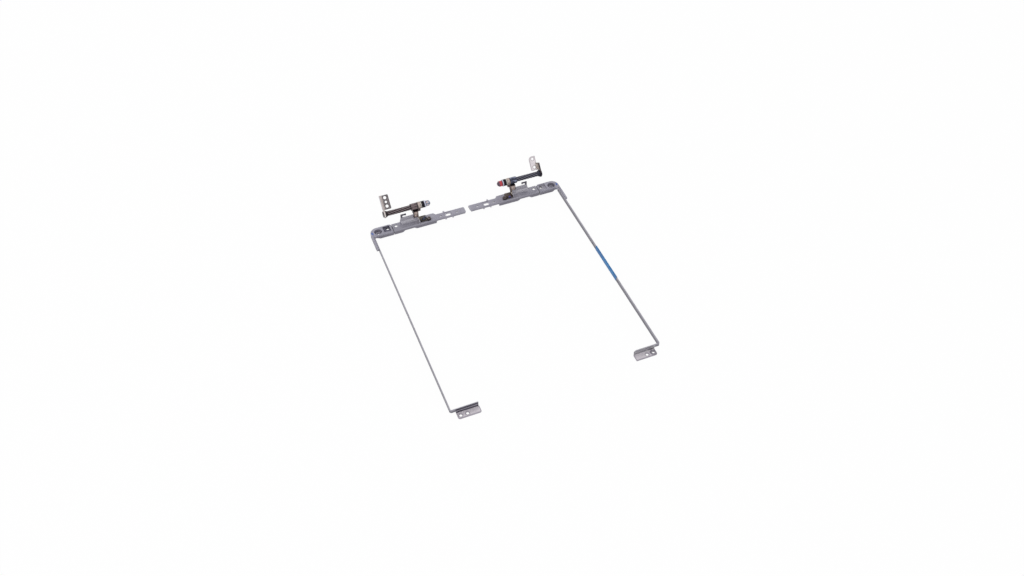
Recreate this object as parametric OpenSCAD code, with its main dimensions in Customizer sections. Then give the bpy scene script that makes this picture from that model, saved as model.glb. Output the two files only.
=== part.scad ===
// Left and right hinge-and-bracket set for the lid of a notebook computer, lying flat.
// Each half is a long side arm with an end tab, a cast corner bracket, a stamped rail, and a
// friction hinge whose base plate turns about the shaft. The two halves mirror each other
// about X = 0 apart from their base plates. Millimetres, Z up, floor at Z = 0.
//
// Places on a half are written u, v, w. u runs inward along the rail from the inner corner,
// v runs backward from the front of the rail, and w is the height above the floor.

/* [Pair] */
// Gap between the inner ends of the two rails, as the pair lies
pair_gap = 4.4; // [1:0.1:40]

/* [Side arm] */
// Length from the inner corner to the end tab
arm_len = 222; // [180:1:260]
// Height of the upright strip
arm_h = 4.9; // [4:0.1:5.4]
// Thickness of the arm's sheet
arm_t = 0.9; // [0.7:0.05:1.2]
// Height of the strip's lower edge above the floor
arm_rise = 1.3; // [0.6:0.1:1.5]
// Gap between the strip's end and the front of the corner
arm_start = 0.1; // [0:0.1:2]
// Diameter of the panel screw holes
arm_hole_d = 2.2; // [1.5:0.1:2.6]
// Places of the panel screw holes along the arm
arm_hole_at = [86, 140]; // [60:1:170]

/* [End tab] */
// Distance from the arm's inner face to the tab's first edge
tab_start = 4.2; // [2.5:0.1:6]
// Length of the tab along the rail's direction
tab_len = 20.8; // [16:0.1:30]
// How far the upright wall ends short of the flange
wall_short = 0.7; // [0:0.1:2]
// Inner radius of the bend between arm and tab
arm_bend = 0.8; // [0.4:0.1:1.6]
// How much lower the bend between arm and tab is cut away
bend_relief = 1.3; // [0.5:0.1:2]
// Depth from the upright wall's back face to the flange's front edge
tab_depth = 7.6; // [6.5:0.1:10]
// Radius of the flange's front corners
tab_corner_r = 1.8; // [0.5:0.1:2.5]
// Radius of the right tab's inner front corner
tab_tight_r = 0.6; // [0.3:0.1:2.5]
// Radius of the right tab wall's inner top corner
wall_round = 2.6; // [1:0.1:3.5]
// Diameter of the two screw holes
tab_hole_d = 2.6; // [2:0.1:3]
// Distance from the flange's first edge to the first hole
tab_hole_in = 2.9; // [2.4:0.1:4]
// Spacing of the two holes
tab_hole_pitch = 6.1; // [4.5:0.1:8]
// Distance from the flange's front edge to the holes
tab_hole_edge = 3.1; // [2.4:0.1:4]
// Outer diameter of the raised ring round the right outer hole
tab_ring_d = 5.2; // [3.8:0.1:5.4]
// Height of that ring
tab_ring_h = 0.8; // [0.3:0.1:1.2]
// Height of the bead along the upright wall
tab_bead = 0.3; // [0.2:0.05:0.5]
// Width of that bead
tab_bead_w = 0.7; // [0.4:0.1:1.2]

/* [Corner bracket] */
// Length from the inner corner to the seam
corner_len = 19.6; // [18.6:0.1:21]
// Depth from front to back
corner_depth = 11.2; // [10.8:0.1:13]
// How far the outer edge stands outside the arm's inner face
corner_out = 2.8; // [2.2:0.1:4]
// Radius of the outer corner
corner_r = 7.4; // [4:0.1:9]
// Size of the corner cut off behind, beside the seam
corner_notch = 1.6; // [0.8:0.1:2.4]
// Thickness of the cast block
block_t = 2.9; // [2.6:0.1:3.2]
// Thickness of its skirt and side wall
skirt_t = 0.9; // [0.7:0.05:1.2]
// Length of the thick leg beside the arm
leg_len = 18.5; // [16:0.5:24]
// How much shorter the leg is at its lower edge
leg_slant = 3; // [1:0.5:5]
// Height of the square stretch at the leg's end
leg_end_h = 2; // [1:0.1:3]
// Radius of the fillet between the leg and the front skirt
inner_fillet = 2.6; // [1:0.1:3.5]
// Radius of the round pocket
pocket_r = 3.8; // [3.2:0.1:4.1]
// Place of the round pocket
pocket_at = [5.0, 4.9]; // [4.7:0.1:5.6]
// Depth of the round pocket
pocket_deep = 3.7; // [2.5:0.1:4]
// Depth of the square pocket
square_deep = 1.9; // [1:0.1:2.2]
// Thickness of the round pocket's cup
cup_t = 0.8; // [0.6:0.1:1]
// Radius of the screw boss in the round pocket
boss_r = 2.5; // [2:0.1:2.8]
// Height of that boss
boss_h = 1.2; // [0.5:0.1:1.8]
// Diameter of the hole through the boss
boss_hole_d = 2.4; // [1.5:0.1:3]
// Near and far ends of the square pocket along the rail
square_u = [10.6, 17.6]; // [10:0.1:18]
// Front and back of the square pocket
square_v = [2.0, 9.8]; // [1.6:0.1:10]
// Diameter of the hole in the square pocket
hole_a_d = 3.0; // [2:0.1:3.2]
// Place of that hole
hole_a_at = [15.4, 7.7]; // [7:0.1:16]

/* [Rail] */
// Height of the rail's top face above the floor
rail_top = 6.5; // [6.5:0.1:8]
// Thickness of the rail's sheet
rail_t = 0.9; // [0.7:0.05:1.2]
// Length from the inner corner to the rail's inner end
rail_len = 95; // [92:0.5:97]
// Gap of the seam between corner bracket and rail
seam_gap = 0.35; // [0.2:0.05:0.6]
// Depth of the rail's wide stretch
rail_depth = 10.4; // [10:0.1:11]
// Depth of the slim inner end
slim_depth = 7.7; // [7:0.1:9]
// Length of the slim inner end
slim_len = 29.6; // [27:0.1:32]
// Length of the slanted step between wide stretch and slim end
slim_slant = 2; // [0.5:0.1:3]
// Cut at the corners of the inner end
end_cut = 0.8; // [0.4:0.1:1.4]
// Where the first front tab ends
tab1_end = 28.6; // [25:0.1:32]
// Where the first front tab begins on the corner bracket
tab1_start = 5.2; // [3:0.1:8]
// How far the first front tab hangs below the top face
tab1_drop = 5.0; // [4:0.1:5.6]
// Ends of the second front tab, which stands on the floor
tab2_u = [43.4, 63.8]; // [40:0.1:64]
// Length of the slanted ends of the front tabs
tab_slant = 2.6; // [1:0.1:4]
// Length of the slant at the second tab's inner end
tab2_slant = 0.5; // [0.2:0.1:2]
// How far the inner front tab hangs down
tab2_drop = 4.75; // [4:0.05:5.5]
// How far the lip hangs down between the tabs
lip_drop = 3.1; // [2:0.1:4]
// How far the lip hangs down along the slim end
end_lip_drop = 2.1; // [1.4:0.1:3]
// Diameter of the hole beside the seam
hole_b_d = 2.8; // [2:0.1:4]
// Place of that hole
hole_b_at = [23.8, 6.3]; // [5:0.1:26]
// Outer end of the upright back wall
wall_from = 29.0; // [27:0.1:31]
// Height of the back wall above the rail's top
wall_h = 5.6; // [4:0.1:7]
// Height of the hook above the rail's top
hook_h = 9.5; // [8.5:0.1:10.5]
// Inner end of the hook's bar
hook_to = 35.9; // [34:0.1:38]
// How far the wall's outer end leans inward up to the hook
wall_lean = 1.1; // [0.5:0.1:2]
// How far that end flares outward at its foot
wall_flare = 0.6; // [0.2:0.1:1]
// Width of the hook's stem
hook_stem = 1.9; // [1.2:0.1:2.4]
// Thickness of the hook's bar
hook_bar = 1.8; // [0.8:0.1:2.2]
// How far the knob at the bar's end hangs below it
hook_knob = 0.3; // [0.2:0.1:1]
// Width of that knob
knob_w = 1.1; // [0.8:0.1:1.6]
// Length and width of the long hole in the slim end
oval_size = [5.2, 3.0]; // [2:0.1:6]
// Distance of the long hole's centre from the rail's inner end
oval_in = 18.1; // [16:0.1:20]
// Distance of that centre from the front
oval_v = 3.1; // [2.5:0.1:4]
// Depth of the shallow channel round the long hole
channel_deep = 0.35; // [0.2:0.05:0.5]
// Length and width by which the channel is larger than the long hole
channel_more = [2.4, 2.2]; // [1:0.1:3]
// Length and width of the two short slots
slot_size = [2.6, 1.0]; // [0.8:0.1:3]
// Distances of the two short slots from the rail's inner end
slot_in = [26, 8.6]; // [5:0.1:26.5]
// Distance of the slots from the front
slot_v = 3.5; // [2.5:0.1:5]
// Distance of the back edge's lug from the rail's inner end
back_lug_in = 21.2; // [15:0.1:24]
// Distances of the front edge's lugs from the rail's inner end
front_lug_in = [21.6, 14.2]; // [8:0.1:26]
// Width of the front lugs
lug_w = 1.6; // [1:0.1:2.4]
// How far the front lugs stand out
lug_out = 1.4; // [0.8:0.1:2]
// How far the back lug stands out
back_lug_out = 2.0; // [1:0.1:2.6]

// Clearance between the rail's tongue and the corner's walls
tongue_gap = 0.2; // [0.1:0.05:0.4]

/* [Hinge seat] */
// Outer face of the seat's upright neck
neck_from = 43.2; // [42:0.1:44]
// Width of the neck along the shaft
neck_w = 5.3; // [5:0.1:5.8]
// Thickness of the seat's plate
seat_t = 1.6; // [1.2:0.1:2]
// Outer radius of the bend between neck and side plate
seat_bend_r = 2.0; // [1.7:0.1:2.4]
// Height of the side plate's straight heel above the rail
seat_heel = 2.5; // [1:0.1:4]
// Depth of the hood behind the neck
hood_depth = 4.1; // [3:0.1:5]
// Thickness of the hood's top
hood_t = 1.0; // [0.8:0.1:1.4]
// Diameter of the dimple in the neck
dimple_d = 1.4; // [1:0.1:2]
// Depth of that dimple
dimple_deep = 0.35; // [0.2:0.05:0.6]
// Step from the ear's inner face back to the block
block_step = 0.4; // [0.2:0.1:0.8]
// How far the block that carries the ear hangs below it
block_drop = 2.2; // [1.5:0.1:3]
// Half width of that block
block_half = 2.0; // [1.5:0.1:2.4]
// Radius of the foot's inner end
foot_r = 1.9; // [1.5:0.1:2.6]
// Gap between the collar and the top of the neck
collar_gap = 0.3; // [0.2:0.1:1]
// Inner end of the seat's foot
foot_to = 59; // [58:0.1:62]
// Inner end of the foot's square part
foot_square_to = 55.1; // [54.4:0.1:56]
// Thickness of the foot
foot_t = 1.4; // [1:0.1:1.8]
// Distance from the rail's front to the foot
foot_front = 2.2; // [0.6:0.1:2.4]
// Radius of the ear that carries the shaft
ear_r = 3.6; // [3.4:0.1:4]
// Length of the ear along the shaft
ear_w = 2.9; // [2.4:0.1:4]
// Metal left between the ear's bore and the top of the block
ear_wall = 0.95; // [0.6:0.05:1.4]
// Places of the two seat screws
seat_screw_at = [[52.3, 4.3], [57, 3.2]]; // [3:0.1:58]
// Diameter of the seat screws' heads
seat_head_d = 3.6; // [3:0.1:4.2]
// Height of those heads
seat_head_h = 1.0; // [0.6:0.1:1.4]
// Diameter of the seat screws' shanks
seat_shank_d = 2.0; // [1.6:0.1:2.4]
// How far the shanks stand out below the rail
seat_shank_out = 0.8; // [0.4:0.1:1.6]
// Width of the cross in the heads
seat_cross_w = 0.45; // [0.3:0.05:0.7]
// Diameter of the fixing and rivet holes' clearance over their shanks
fix_play = 0.04; // [0.02:0.01:0.1]

/* [Rivets] */
// Diameter of the rivet shanks
rivet_d = 1.6; // [1.2:0.1:1.8]
// Diameter of the rivet heads
rivet_head_d = 2.4; // [2.2:0.1:2.8]
// Height of the rivet heads
rivet_head_h = 0.3; // [0.2:0.05:0.6]
// Places of the rivets along the arm
arm_rivet_at = [5.5, 13.5]; // [4:0.1:16]
// Places of the rivets that hold the rail's tongue
rail_rivet_at = [[12.4, 3.9], [12.4, 7.7]]; // [3.4:0.1:13]

/* [Shaft] */
// Distance of the hinge axis behind the rail's front
axis_v = 11.5; // [11.4:0.1:12]
// Height of the hinge axis above the floor
axis_w = 20.6; // [20:0.1:22]
// Radius of the shaft inside the sleeve
core_r = 1.4; // [1.2:0.1:1.6]
// Radius where the shaft runs in the ear
journal_r = 1.95; // [1.8:0.05:2.2]
// Radial running clearance in the ear
journal_play = 0.05; // [0.02:0.01:0.08]
// Radius of the shoulder beside the base plate
shoulder_r = 3.3; // [3:0.1:4]
// Length of the shoulder's round part
shoulder_w = 0.8; // [0.5:0.1:2]
// Length of the shoulder's taper
shoulder_taper = 1.6; // [1:0.1:2.4]
// Radius of the collar that bears on the ear
collar_r = 3.4; // [3:0.1:3.7]
// Length of the collar
collar_w = 6.8; // [6:0.1:7.4]
// Distance between the two flats milled on the collar
collar_flats = 6.2; // [5.2:0.1:6.4]
// Radius of the threaded end
thread_r = 1.75; // [1.5:0.05:1.8]
// Distance between the flats of the threaded end
thread_flats = 2.6; // [2.2:0.1:3]
// How far the threaded end stands out of the nut
thread_out = 0.9; // [0.3:0.1:1.8]
// Radius of the staked head outside the base plate
stake_r = 2.9; // [2.4:0.1:3.2]
// Height of the staked head
stake_h = 0.7; // [0.4:0.1:1]

/* [Spiral sleeve] */
// Outer radius over the ridges
sleeve_r = 2.45; // [2:0.05:2.6]
// Depth of the grooves between the ridges
sleeve_groove = 0.3; // [0.1:0.02:0.4]
// Number of ridges round the sleeve
sleeve_starts = 6; // [4:1:8]
// Length over which a ridge goes once round
sleeve_pitch = 19; // [15:1:40]

/* [Washers and nut] */
// Thickness of the thin washer between collar and ear
collar_washer_t = 0.4; // [0.3:0.05:0.6]
// Thickness of the bright friction washer
friction_t = 1.0; // [0.6:0.1:1.4]
// Radius of the friction washers
friction_r = 3.4; // [3.1:0.1:3.6]
// Radius of the disc springs
spring_r = 3.45; // [3:0.05:3.6]
// Thickness of one disc spring
spring_t = 0.45; // [0.3:0.05:0.6]
// Dish of one disc spring
spring_dish = 0.28; // [0.15:0.01:0.4]
// Radial clearance of the disc springs over the threaded end
spring_play = 0.1; // [0.05:0.01:0.2]
// Number of disc springs
spring_count = 4; // [2:2:6]
// Thickness of the lock washer
lock_t = 1.2; // [0.6:0.1:1.6]
// Radius of the lock washer
lock_r = 3.5; // [3:0.05:3.7]
// Distance across the nut's flats
nut_af = 5.2; // [5:0.1:6]
// Height of the nut
nut_h = 4.0; // [3:0.1:4.5]
// Height of the nut's chamfer
nut_chamfer = 0.7; // [0.3:0.05:0.9]

/* [Base plates] */
// Rise of the left base plate above level, turned back from the lid
tilt_left = 45; // [40:1:60]
// Rise of the right base plate above level
tilt_right = 50; // [40:1:60]
// Outer face of the base plate along the shaft
plate_from = 14.1; // [13.5:0.1:15]
// Thickness of the base plates
plate_t = 1.5; // [1:0.1:1.6]
// Radius of the eye round the shaft
eye_r = 3.8; // [3.6:0.1:4.4]
// Where the flange starts, measured from the hinge axis
flange_from = 4.1; // [3.7:0.1:4.6]
// Where the flange ends, measured from the hinge axis
flange_to = 18.4; // [18:0.1:20]
// Inner edge of the left flange along the shaft
flange_edge = 23.4; // [22.8:0.1:25]
// Inner edge of the right flange along the shaft
right_flange_edge = 22.7; // [22:0.1:25]
// Outer radius of the bend between wall and flange
bend_r = 2.3; // [2:0.1:2.8]
// Distance from the hinge axis down to the flange's underside
flange_under = 2.3; // [1.8:0.1:2.6]
// End of the upright wall on the right base plate
short_wall = 10.9; // [10:0.1:13]
// Outer edge of the right flange beyond that wall
step_edge = 15.9; // [15.8:0.1:17]
// Radius of the right flange's inner corner
round_corner = 3.4; // [1:0.1:4]
// Radius of the small corners
small_corner = 0.8; // [0.4:0.1:1.2]
// Distance from the hinge axis to the first hole
base_hole_from = 7.2; // [6.6:0.1:7.4]
// Spacing of the outer holes
base_hole_pitch = 8.5; // [8:0.1:9.2]
// Place of the left plate's holes along the shaft
base_hole_u = 19.8; // [19:0.1:20.5]
// Place of the right plate's holes along the shaft
right_hole_u = 18.9; // [18.6:0.1:19.5]
// Diameter of the left plate's outer holes
base_hole_d = 3.2; // [2.6:0.1:3.4]
// Diameter of the right plate's holes
right_hole_d = 2.8; // [2:0.1:3.2]
// Diameter of the left plate's middle hole
middle_hole_d = 2.5; // [1.8:0.1:2.8]

/* [Film] */
// Start of the protective film along the right arm
film_from = 92; // [89:0.5:100]
// End of that film
film_to = 137; // [120:0.5:137.5]
// Thickness of the film
film_t = 0.15; // [0.1:0.01:0.3]

/* [Hidden] */
$fn = 48;
eps = 0.01;

// The corners' distance and the slim end's features follow from the rail's length
corner_span = 2 * rail_len + pair_gap;
slim_from = rail_len - slim_len;
back_lug_at = rail_len - back_lug_in;

// Heights of the flat layers
block_floor = rail_top - block_t;
cup_floor = rail_top - pocket_deep;
square_floor = rail_top - square_deep;
foot_top = rail_top + foot_t;
arm_top = arm_rise + arm_h;

// Stack of pieces along the shaft, from the base plate to the nut
plate_to = plate_from + plate_t;
shoulder_to = plate_to + shoulder_w;
sleeve_from = shoulder_to + shoulder_taper;
neck_to = neck_from + neck_w;
ear_from = neck_to;
ear_to = ear_from + ear_w;
collar_to = ear_from - collar_washer_t;
collar_from = collar_to - collar_w;
springs_from = ear_to + friction_t;
springs_to = springs_from + spring_count * (spring_t + spring_dish);
lock_to = springs_to + lock_t;
nut_to = lock_to + nut_h;
thread_to = nut_to + thread_out;

// The seat's neck lies on the front face of the rail's back wall
neck_back = rail_depth - rail_t;
neck_front = neck_back - seat_t;
neck_top = axis_w - collar_r - collar_gap;

// The panel and the base plates decide how far the set reaches in Y
reach_front = -arm_len - tab_depth;
function plate_reach(tilt) = axis_v + flange_to * cos(tilt) + flange_under * sin(tilt);
reach_back = max(plate_reach(tilt_left), plate_reach(tilt_right));
y_shift = -(reach_front + reach_back) / 2;

metal = [0.59, 0.58, 0.62];
nickel = [0.71, 0.66, 0.63];
dark = [0.30, 0.28, 0.30];
bright = [0.82, 0.82, 0.84];
black = [0.13, 0.12, 0.13];

// Places a half: the left one as drawn, the right one mirrored
module half(right) {
    mirror([right ? 1 : 0, 0, 0])
        translate([-corner_span / 2, y_shift, 0])
            children();
}

// Turns a shape drawn along +Z so that it runs inward along the hinge axis from u
module on_axis(u) {
    translate([u, axis_v, axis_w]) rotate([0, 90, 0]) children();
}

// A flat shape drawn in u and w, given a thickness backward from v
module upright(v, thick) {
    translate([0, v + thick, 0]) rotate([90, 0, 0]) linear_extrude(thick) children();
}

module ring(outer, inner, length) {
    difference() {
        cylinder(r = outer, h = length);
        translate([0, 0, -eps]) cylinder(r = inner, h = length + 2 * eps);
    }
}

// Upright strip with two panel screw holes, bent at its end into a tab with a flange.
// The right tab has a raised ring, a tighter front corner and a rounded end to its wall.
module side_arm(right) {
    outer = -arm_t;
    wall_v = -arm_len - arm_t;
    flange_v = -arm_len - tab_depth;
    flange_end = tab_start + tab_len;
    wall_end = flange_end - wall_short;
    hole_v = flange_v + tab_hole_edge;
    bend = arm_t + arm_bend;
    bend_low = arm_rise + bend_relief;
    tight = right ? tab_tight_r : tab_corner_r;
    color(metal) difference() {
        union() {
            translate([outer, wall_v + bend, arm_rise])
                cube([arm_t, arm_len + arm_t - bend - arm_start, arm_h]);
            // Rounded bend between strip and tab
            translate([outer + bend, wall_v + bend, bend_low]) intersection() {
                ring(bend, bend - arm_t, arm_top - bend_low);
                translate([-bend, -bend, 0]) cube([bend, bend, arm_top]);
            }
            translate([outer + bend - eps, wall_v, bend_low])
                cube([tab_start - outer - bend + 2 * eps, arm_t, arm_top - bend_low]);
            // Upright wall of the tab, with a bead along its front
            upright(wall_v, arm_t) difference() {
                translate([tab_start, 0]) square([wall_end - tab_start, arm_top]);
                if (right) translate([wall_end - wall_round, arm_top - wall_round]) difference() {
                    square(wall_round + eps);
                    circle(r = wall_round);
                }
            }
            translate([tab_start, wall_v - tab_bead, arm_top / 2])
                cube([wall_end - tab_start, tab_bead + eps, tab_bead_w]);
            // Flange on the floor with rounded front corners
            linear_extrude(arm_t) union() {
                translate([tab_start, flange_v + tab_corner_r])
                    square([tab_len, tab_depth - arm_t - tab_corner_r + eps]);
                translate([tab_start + tab_corner_r, flange_v])
                    square([tab_len - tab_corner_r - tight, tab_corner_r + eps]);
                translate([tab_start + tab_corner_r, flange_v + tab_corner_r])
                    circle(r = tab_corner_r);
                translate([flange_end - tight, flange_v + tight]) circle(r = tight);
                translate([flange_end - tab_corner_r, flange_v + tight])
                    square([tab_corner_r, tab_corner_r - tight + eps]);
            }
            if (right) translate([tab_start + tab_hole_in, hole_v, 0])
                cylinder(d = tab_ring_d, h = arm_t + tab_ring_h);
        }
        for (i = [0, 1]) translate([tab_start + tab_hole_in + i * tab_hole_pitch, hole_v, -eps])
            cylinder(d = tab_hole_d, h = arm_t + tab_ring_h + 2 * eps);
        for (at = arm_hole_at) translate([outer - eps, -at, arm_rise + arm_h / 2])
            rotate([0, 90, 0]) cylinder(d = arm_hole_d, h = arm_t + 2 * eps);
        for (at = arm_rivet_at) translate([outer - eps, -at, arm_rise + arm_h / 2])
            rotate([0, 90, 0]) cylinder(d = rivet_d + fix_play, h = arm_t + 2 * eps);
    }
}

// Plan of the cast corner: rounded outside, square at the seam, notched behind
module corner_plan() {
    difference() {
        union() {
            translate([-corner_out + corner_r, corner_depth - corner_r]) intersection() {
                circle(r = corner_r);
                translate([-corner_r, 0]) square(corner_r);
            }
            translate([-corner_out + corner_r - eps, 0])
                square([corner_len + corner_out - corner_r + eps, corner_depth]);
            translate([-corner_out, 0]) square([corner_r, corner_depth - corner_r + eps]);
        }
        translate([corner_len, corner_depth]) rotate(45)
            square([corner_notch * sqrt(2), corner_notch * sqrt(2)], center = true);
    }
}

// Cast block with two pockets, a skirt round its front and outside, and a leg beside the arm
module corner_bracket() {
    leg_w = corner_out - arm_t;
    color(metal) difference() {
        union() {
            translate([0, 0, block_floor]) linear_extrude(block_t) corner_plan();
            // Outer skirt follows the rounded corner
            translate([0, 0, arm_rise]) linear_extrude(block_floor - arm_rise + eps) difference() {
                corner_plan();
                translate([-corner_out + corner_r, corner_depth - corner_r])
                    circle(r = corner_r - skirt_t);
                translate([-corner_out + skirt_t, -eps])
                    square([corner_len + corner_out, corner_depth - corner_r + 2 * eps]);
                translate([-corner_out + corner_r, -eps])
                    square([corner_len + corner_out, corner_depth + 2 * eps]);
            }
            // Front skirt with its hanging tab
            upright(0, skirt_t) polygon([[-corner_out, arm_rise], [-arm_t, arm_rise],
                [-arm_t, rail_top - lip_drop], [tab1_start - tab_slant, rail_top - lip_drop],
                [tab1_start, rail_top - tab1_drop], [corner_len, rail_top - tab1_drop],
                [corner_len, rail_top - 1], [-corner_out, rail_top - 1]]);
            // Leg down the outside of the arm, and the fillet inside it
            translate([-corner_out, 0, 0]) rotate([90, 0, 90]) linear_extrude(leg_w)
                polygon([[eps, arm_rise], [eps, rail_top], [-leg_len, rail_top],
                    [-leg_len, rail_top - leg_end_h], [leg_slant - leg_len, arm_rise]]);
            translate([0, -inner_fillet, block_floor]) linear_extrude(block_t) difference() {
                square([inner_fillet, inner_fillet + eps]);
                translate([inner_fillet, 0]) circle(r = inner_fillet);
            }
            // Cup below the round pocket
            translate([pocket_at[0], pocket_at[1], cup_floor - cup_t])
                cylinder(r = pocket_r + cup_t, h = block_floor - cup_floor + cup_t + eps);
        }
        // Round pocket with a screw boss
        translate([pocket_at[0], pocket_at[1], cup_floor]) difference() {
            cylinder(r = pocket_r, h = pocket_deep + eps);
            translate([0, 0, -eps]) cylinder(r = boss_r, h = boss_h + eps);
        }
        translate([pocket_at[0], pocket_at[1], cup_floor - cup_t - eps])
            cylinder(d = boss_hole_d, h = pocket_deep + cup_t);
        // Square pocket with its hole
        translate([square_u[0], square_v[0], square_floor])
            cube([square_u[1] - square_u[0], square_v[1] - square_v[0], square_deep + eps]);
        translate([hole_a_at[0], hole_a_at[1], block_floor - eps])
            cylinder(d = hole_a_d, h = block_t);
        for (p = rail_rivet_at) translate([p[0], p[1], block_floor - eps])
            cylinder(d = rivet_d + fix_play, h = block_t);
        for (at = arm_rivet_at) translate([-corner_out - eps, -at, arm_rise + arm_h / 2])
            rotate([0, 90, 0]) cylinder(d = rivet_d + fix_play, h = leg_w + 2 * eps);
    }
}

// Plan of the rail's top plate, with its step, lugs and chamfered end
module rail_plan() {
    from = corner_len + seam_gap;
    lug_foot = lug_w * 0.8;
    lug_tip = lug_w / 4;
    lug_back = slim_depth + back_lug_out;
    polygon([[from, 0], [rail_len - end_cut, 0], [rail_len, end_cut],
        [rail_len, slim_depth - end_cut], [rail_len - end_cut, slim_depth],
        [back_lug_at + lug_foot, slim_depth], [back_lug_at + lug_tip, lug_back],
        [back_lug_at - lug_tip, lug_back], [back_lug_at - lug_foot, slim_depth],
        [slim_from, slim_depth], [slim_from - slim_slant, rail_depth], [from, rail_depth]]);
}

// Outline in u and w of the rail's hanging front wall, with both tabs
module rail_front() {
    from = corner_len + seam_gap;
    top = rail_top - rail_t / 2;
    low = rail_top - lip_drop;
    end = rail_len - end_cut;
    end_low = rail_top - end_lip_drop;
    polygon([[from, top], [from, rail_top - tab1_drop], [tab1_end, rail_top - tab1_drop],
        [tab1_end + tab_slant, low], [tab2_u[0] - tab_slant, low],
        [tab2_u[0], rail_top - tab2_drop], [tab2_u[1], rail_top - tab2_drop],
        [tab2_u[1] + tab2_slant, end_low], [end, end_low], [end, top]]);
}

// Outline in u and w of the upright back wall, with its C-shaped hook
module rail_back() {
    low = rail_top - rail_t / 2;
    top = rail_top + wall_h;
    stem = wall_from + wall_lean;
    hook_top = rail_top + hook_h;
    end = neck_to - seat_bend_r - fix_play;
    knob_low = hook_top - hook_bar - hook_knob;
    polygon([[wall_from - wall_flare, low], [wall_from, rail_top + 1], [stem, top], [stem, hook_top],
        [hook_to, hook_top], [hook_to, knob_low], [hook_to - knob_w, knob_low],
        [hook_to - knob_w, hook_top - hook_bar], [stem + hook_stem, hook_top - hook_bar],
        [stem + hook_stem, top], [end, top], [end, low]]);
}

// Stamped rail: top plate, front wall, back wall with its hook, and a tongue under the corner
module rail() {
    from = corner_len + seam_gap;
    tongue_from = square_u[0] - tongue_gap;
    tongue_v = [skirt_t + tongue_gap, square_v[1] - tongue_gap];
    color(metal) difference() {
        union() {
            translate([0, 0, rail_top - rail_t]) linear_extrude(rail_t) rail_plan();
            upright(0, rail_t) rail_front();
            upright(rail_depth - rail_t, rail_t) rail_back();
            for (inset = front_lug_in)
                translate([rail_len - inset - lug_w / 2, -lug_out, rail_top - end_lip_drop])
                    cube([lug_w, lug_out + eps, rail_t]);
            // The tongue steps down below the corner's block
            translate([tongue_from, tongue_v[0], block_floor - rail_t])
                cube([from + rail_t - tongue_from, tongue_v[1] - tongue_v[0], rail_t]);
            translate([from, tongue_v[0], block_floor - rail_t])
                cube([rail_t, tongue_v[1] - tongue_v[0], block_t + rail_t - eps]);
        }
        translate([hole_b_at[0], hole_b_at[1], rail_top - rail_t - eps])
            cylinder(d = hole_b_d, h = rail_t + 2 * eps);
        // Long hole in a shallow channel, and two short slots
        translate([rail_len - oval_in, oval_v, rail_top - rail_t - eps])
            linear_extrude(rail_t + 2 * eps) round_slot(oval_size);
        translate([rail_len - oval_in, oval_v + oval_size[1] / 4, rail_top - channel_deep])
            linear_extrude(channel_deep + eps) square(oval_size + channel_more, center = true);
        for (inset = slot_in) translate([rail_len - inset, slot_v, rail_top - rail_t - eps])
            linear_extrude(rail_t + 2 * eps) round_slot(slot_size);
        for (p = rail_rivet_at) translate([p[0], p[1], block_floor - rail_t - eps])
            cylinder(d = rivet_d + fix_play, h = rail_t + 2 * eps);
        translate([hole_a_at[0], hole_a_at[1], block_floor - rail_t - eps])
            cylinder(d = hole_a_d, h = rail_t + 2 * eps);
        for (p = seat_screw_at) translate([p[0], p[1], rail_top - rail_t - eps])
            cylinder(d = seat_shank_d + fix_play, h = rail_t + 2 * eps);
    }
}

// A slot with round ends, centred on the origin
module round_slot(size) {
    half_run = (size[0] - size[1]) / 2;
    for (side = [-1, 1]) translate([side * half_run, 0]) circle(d = size[1]);
    square([2 * half_run, size[1]], center = true);
}

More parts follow.
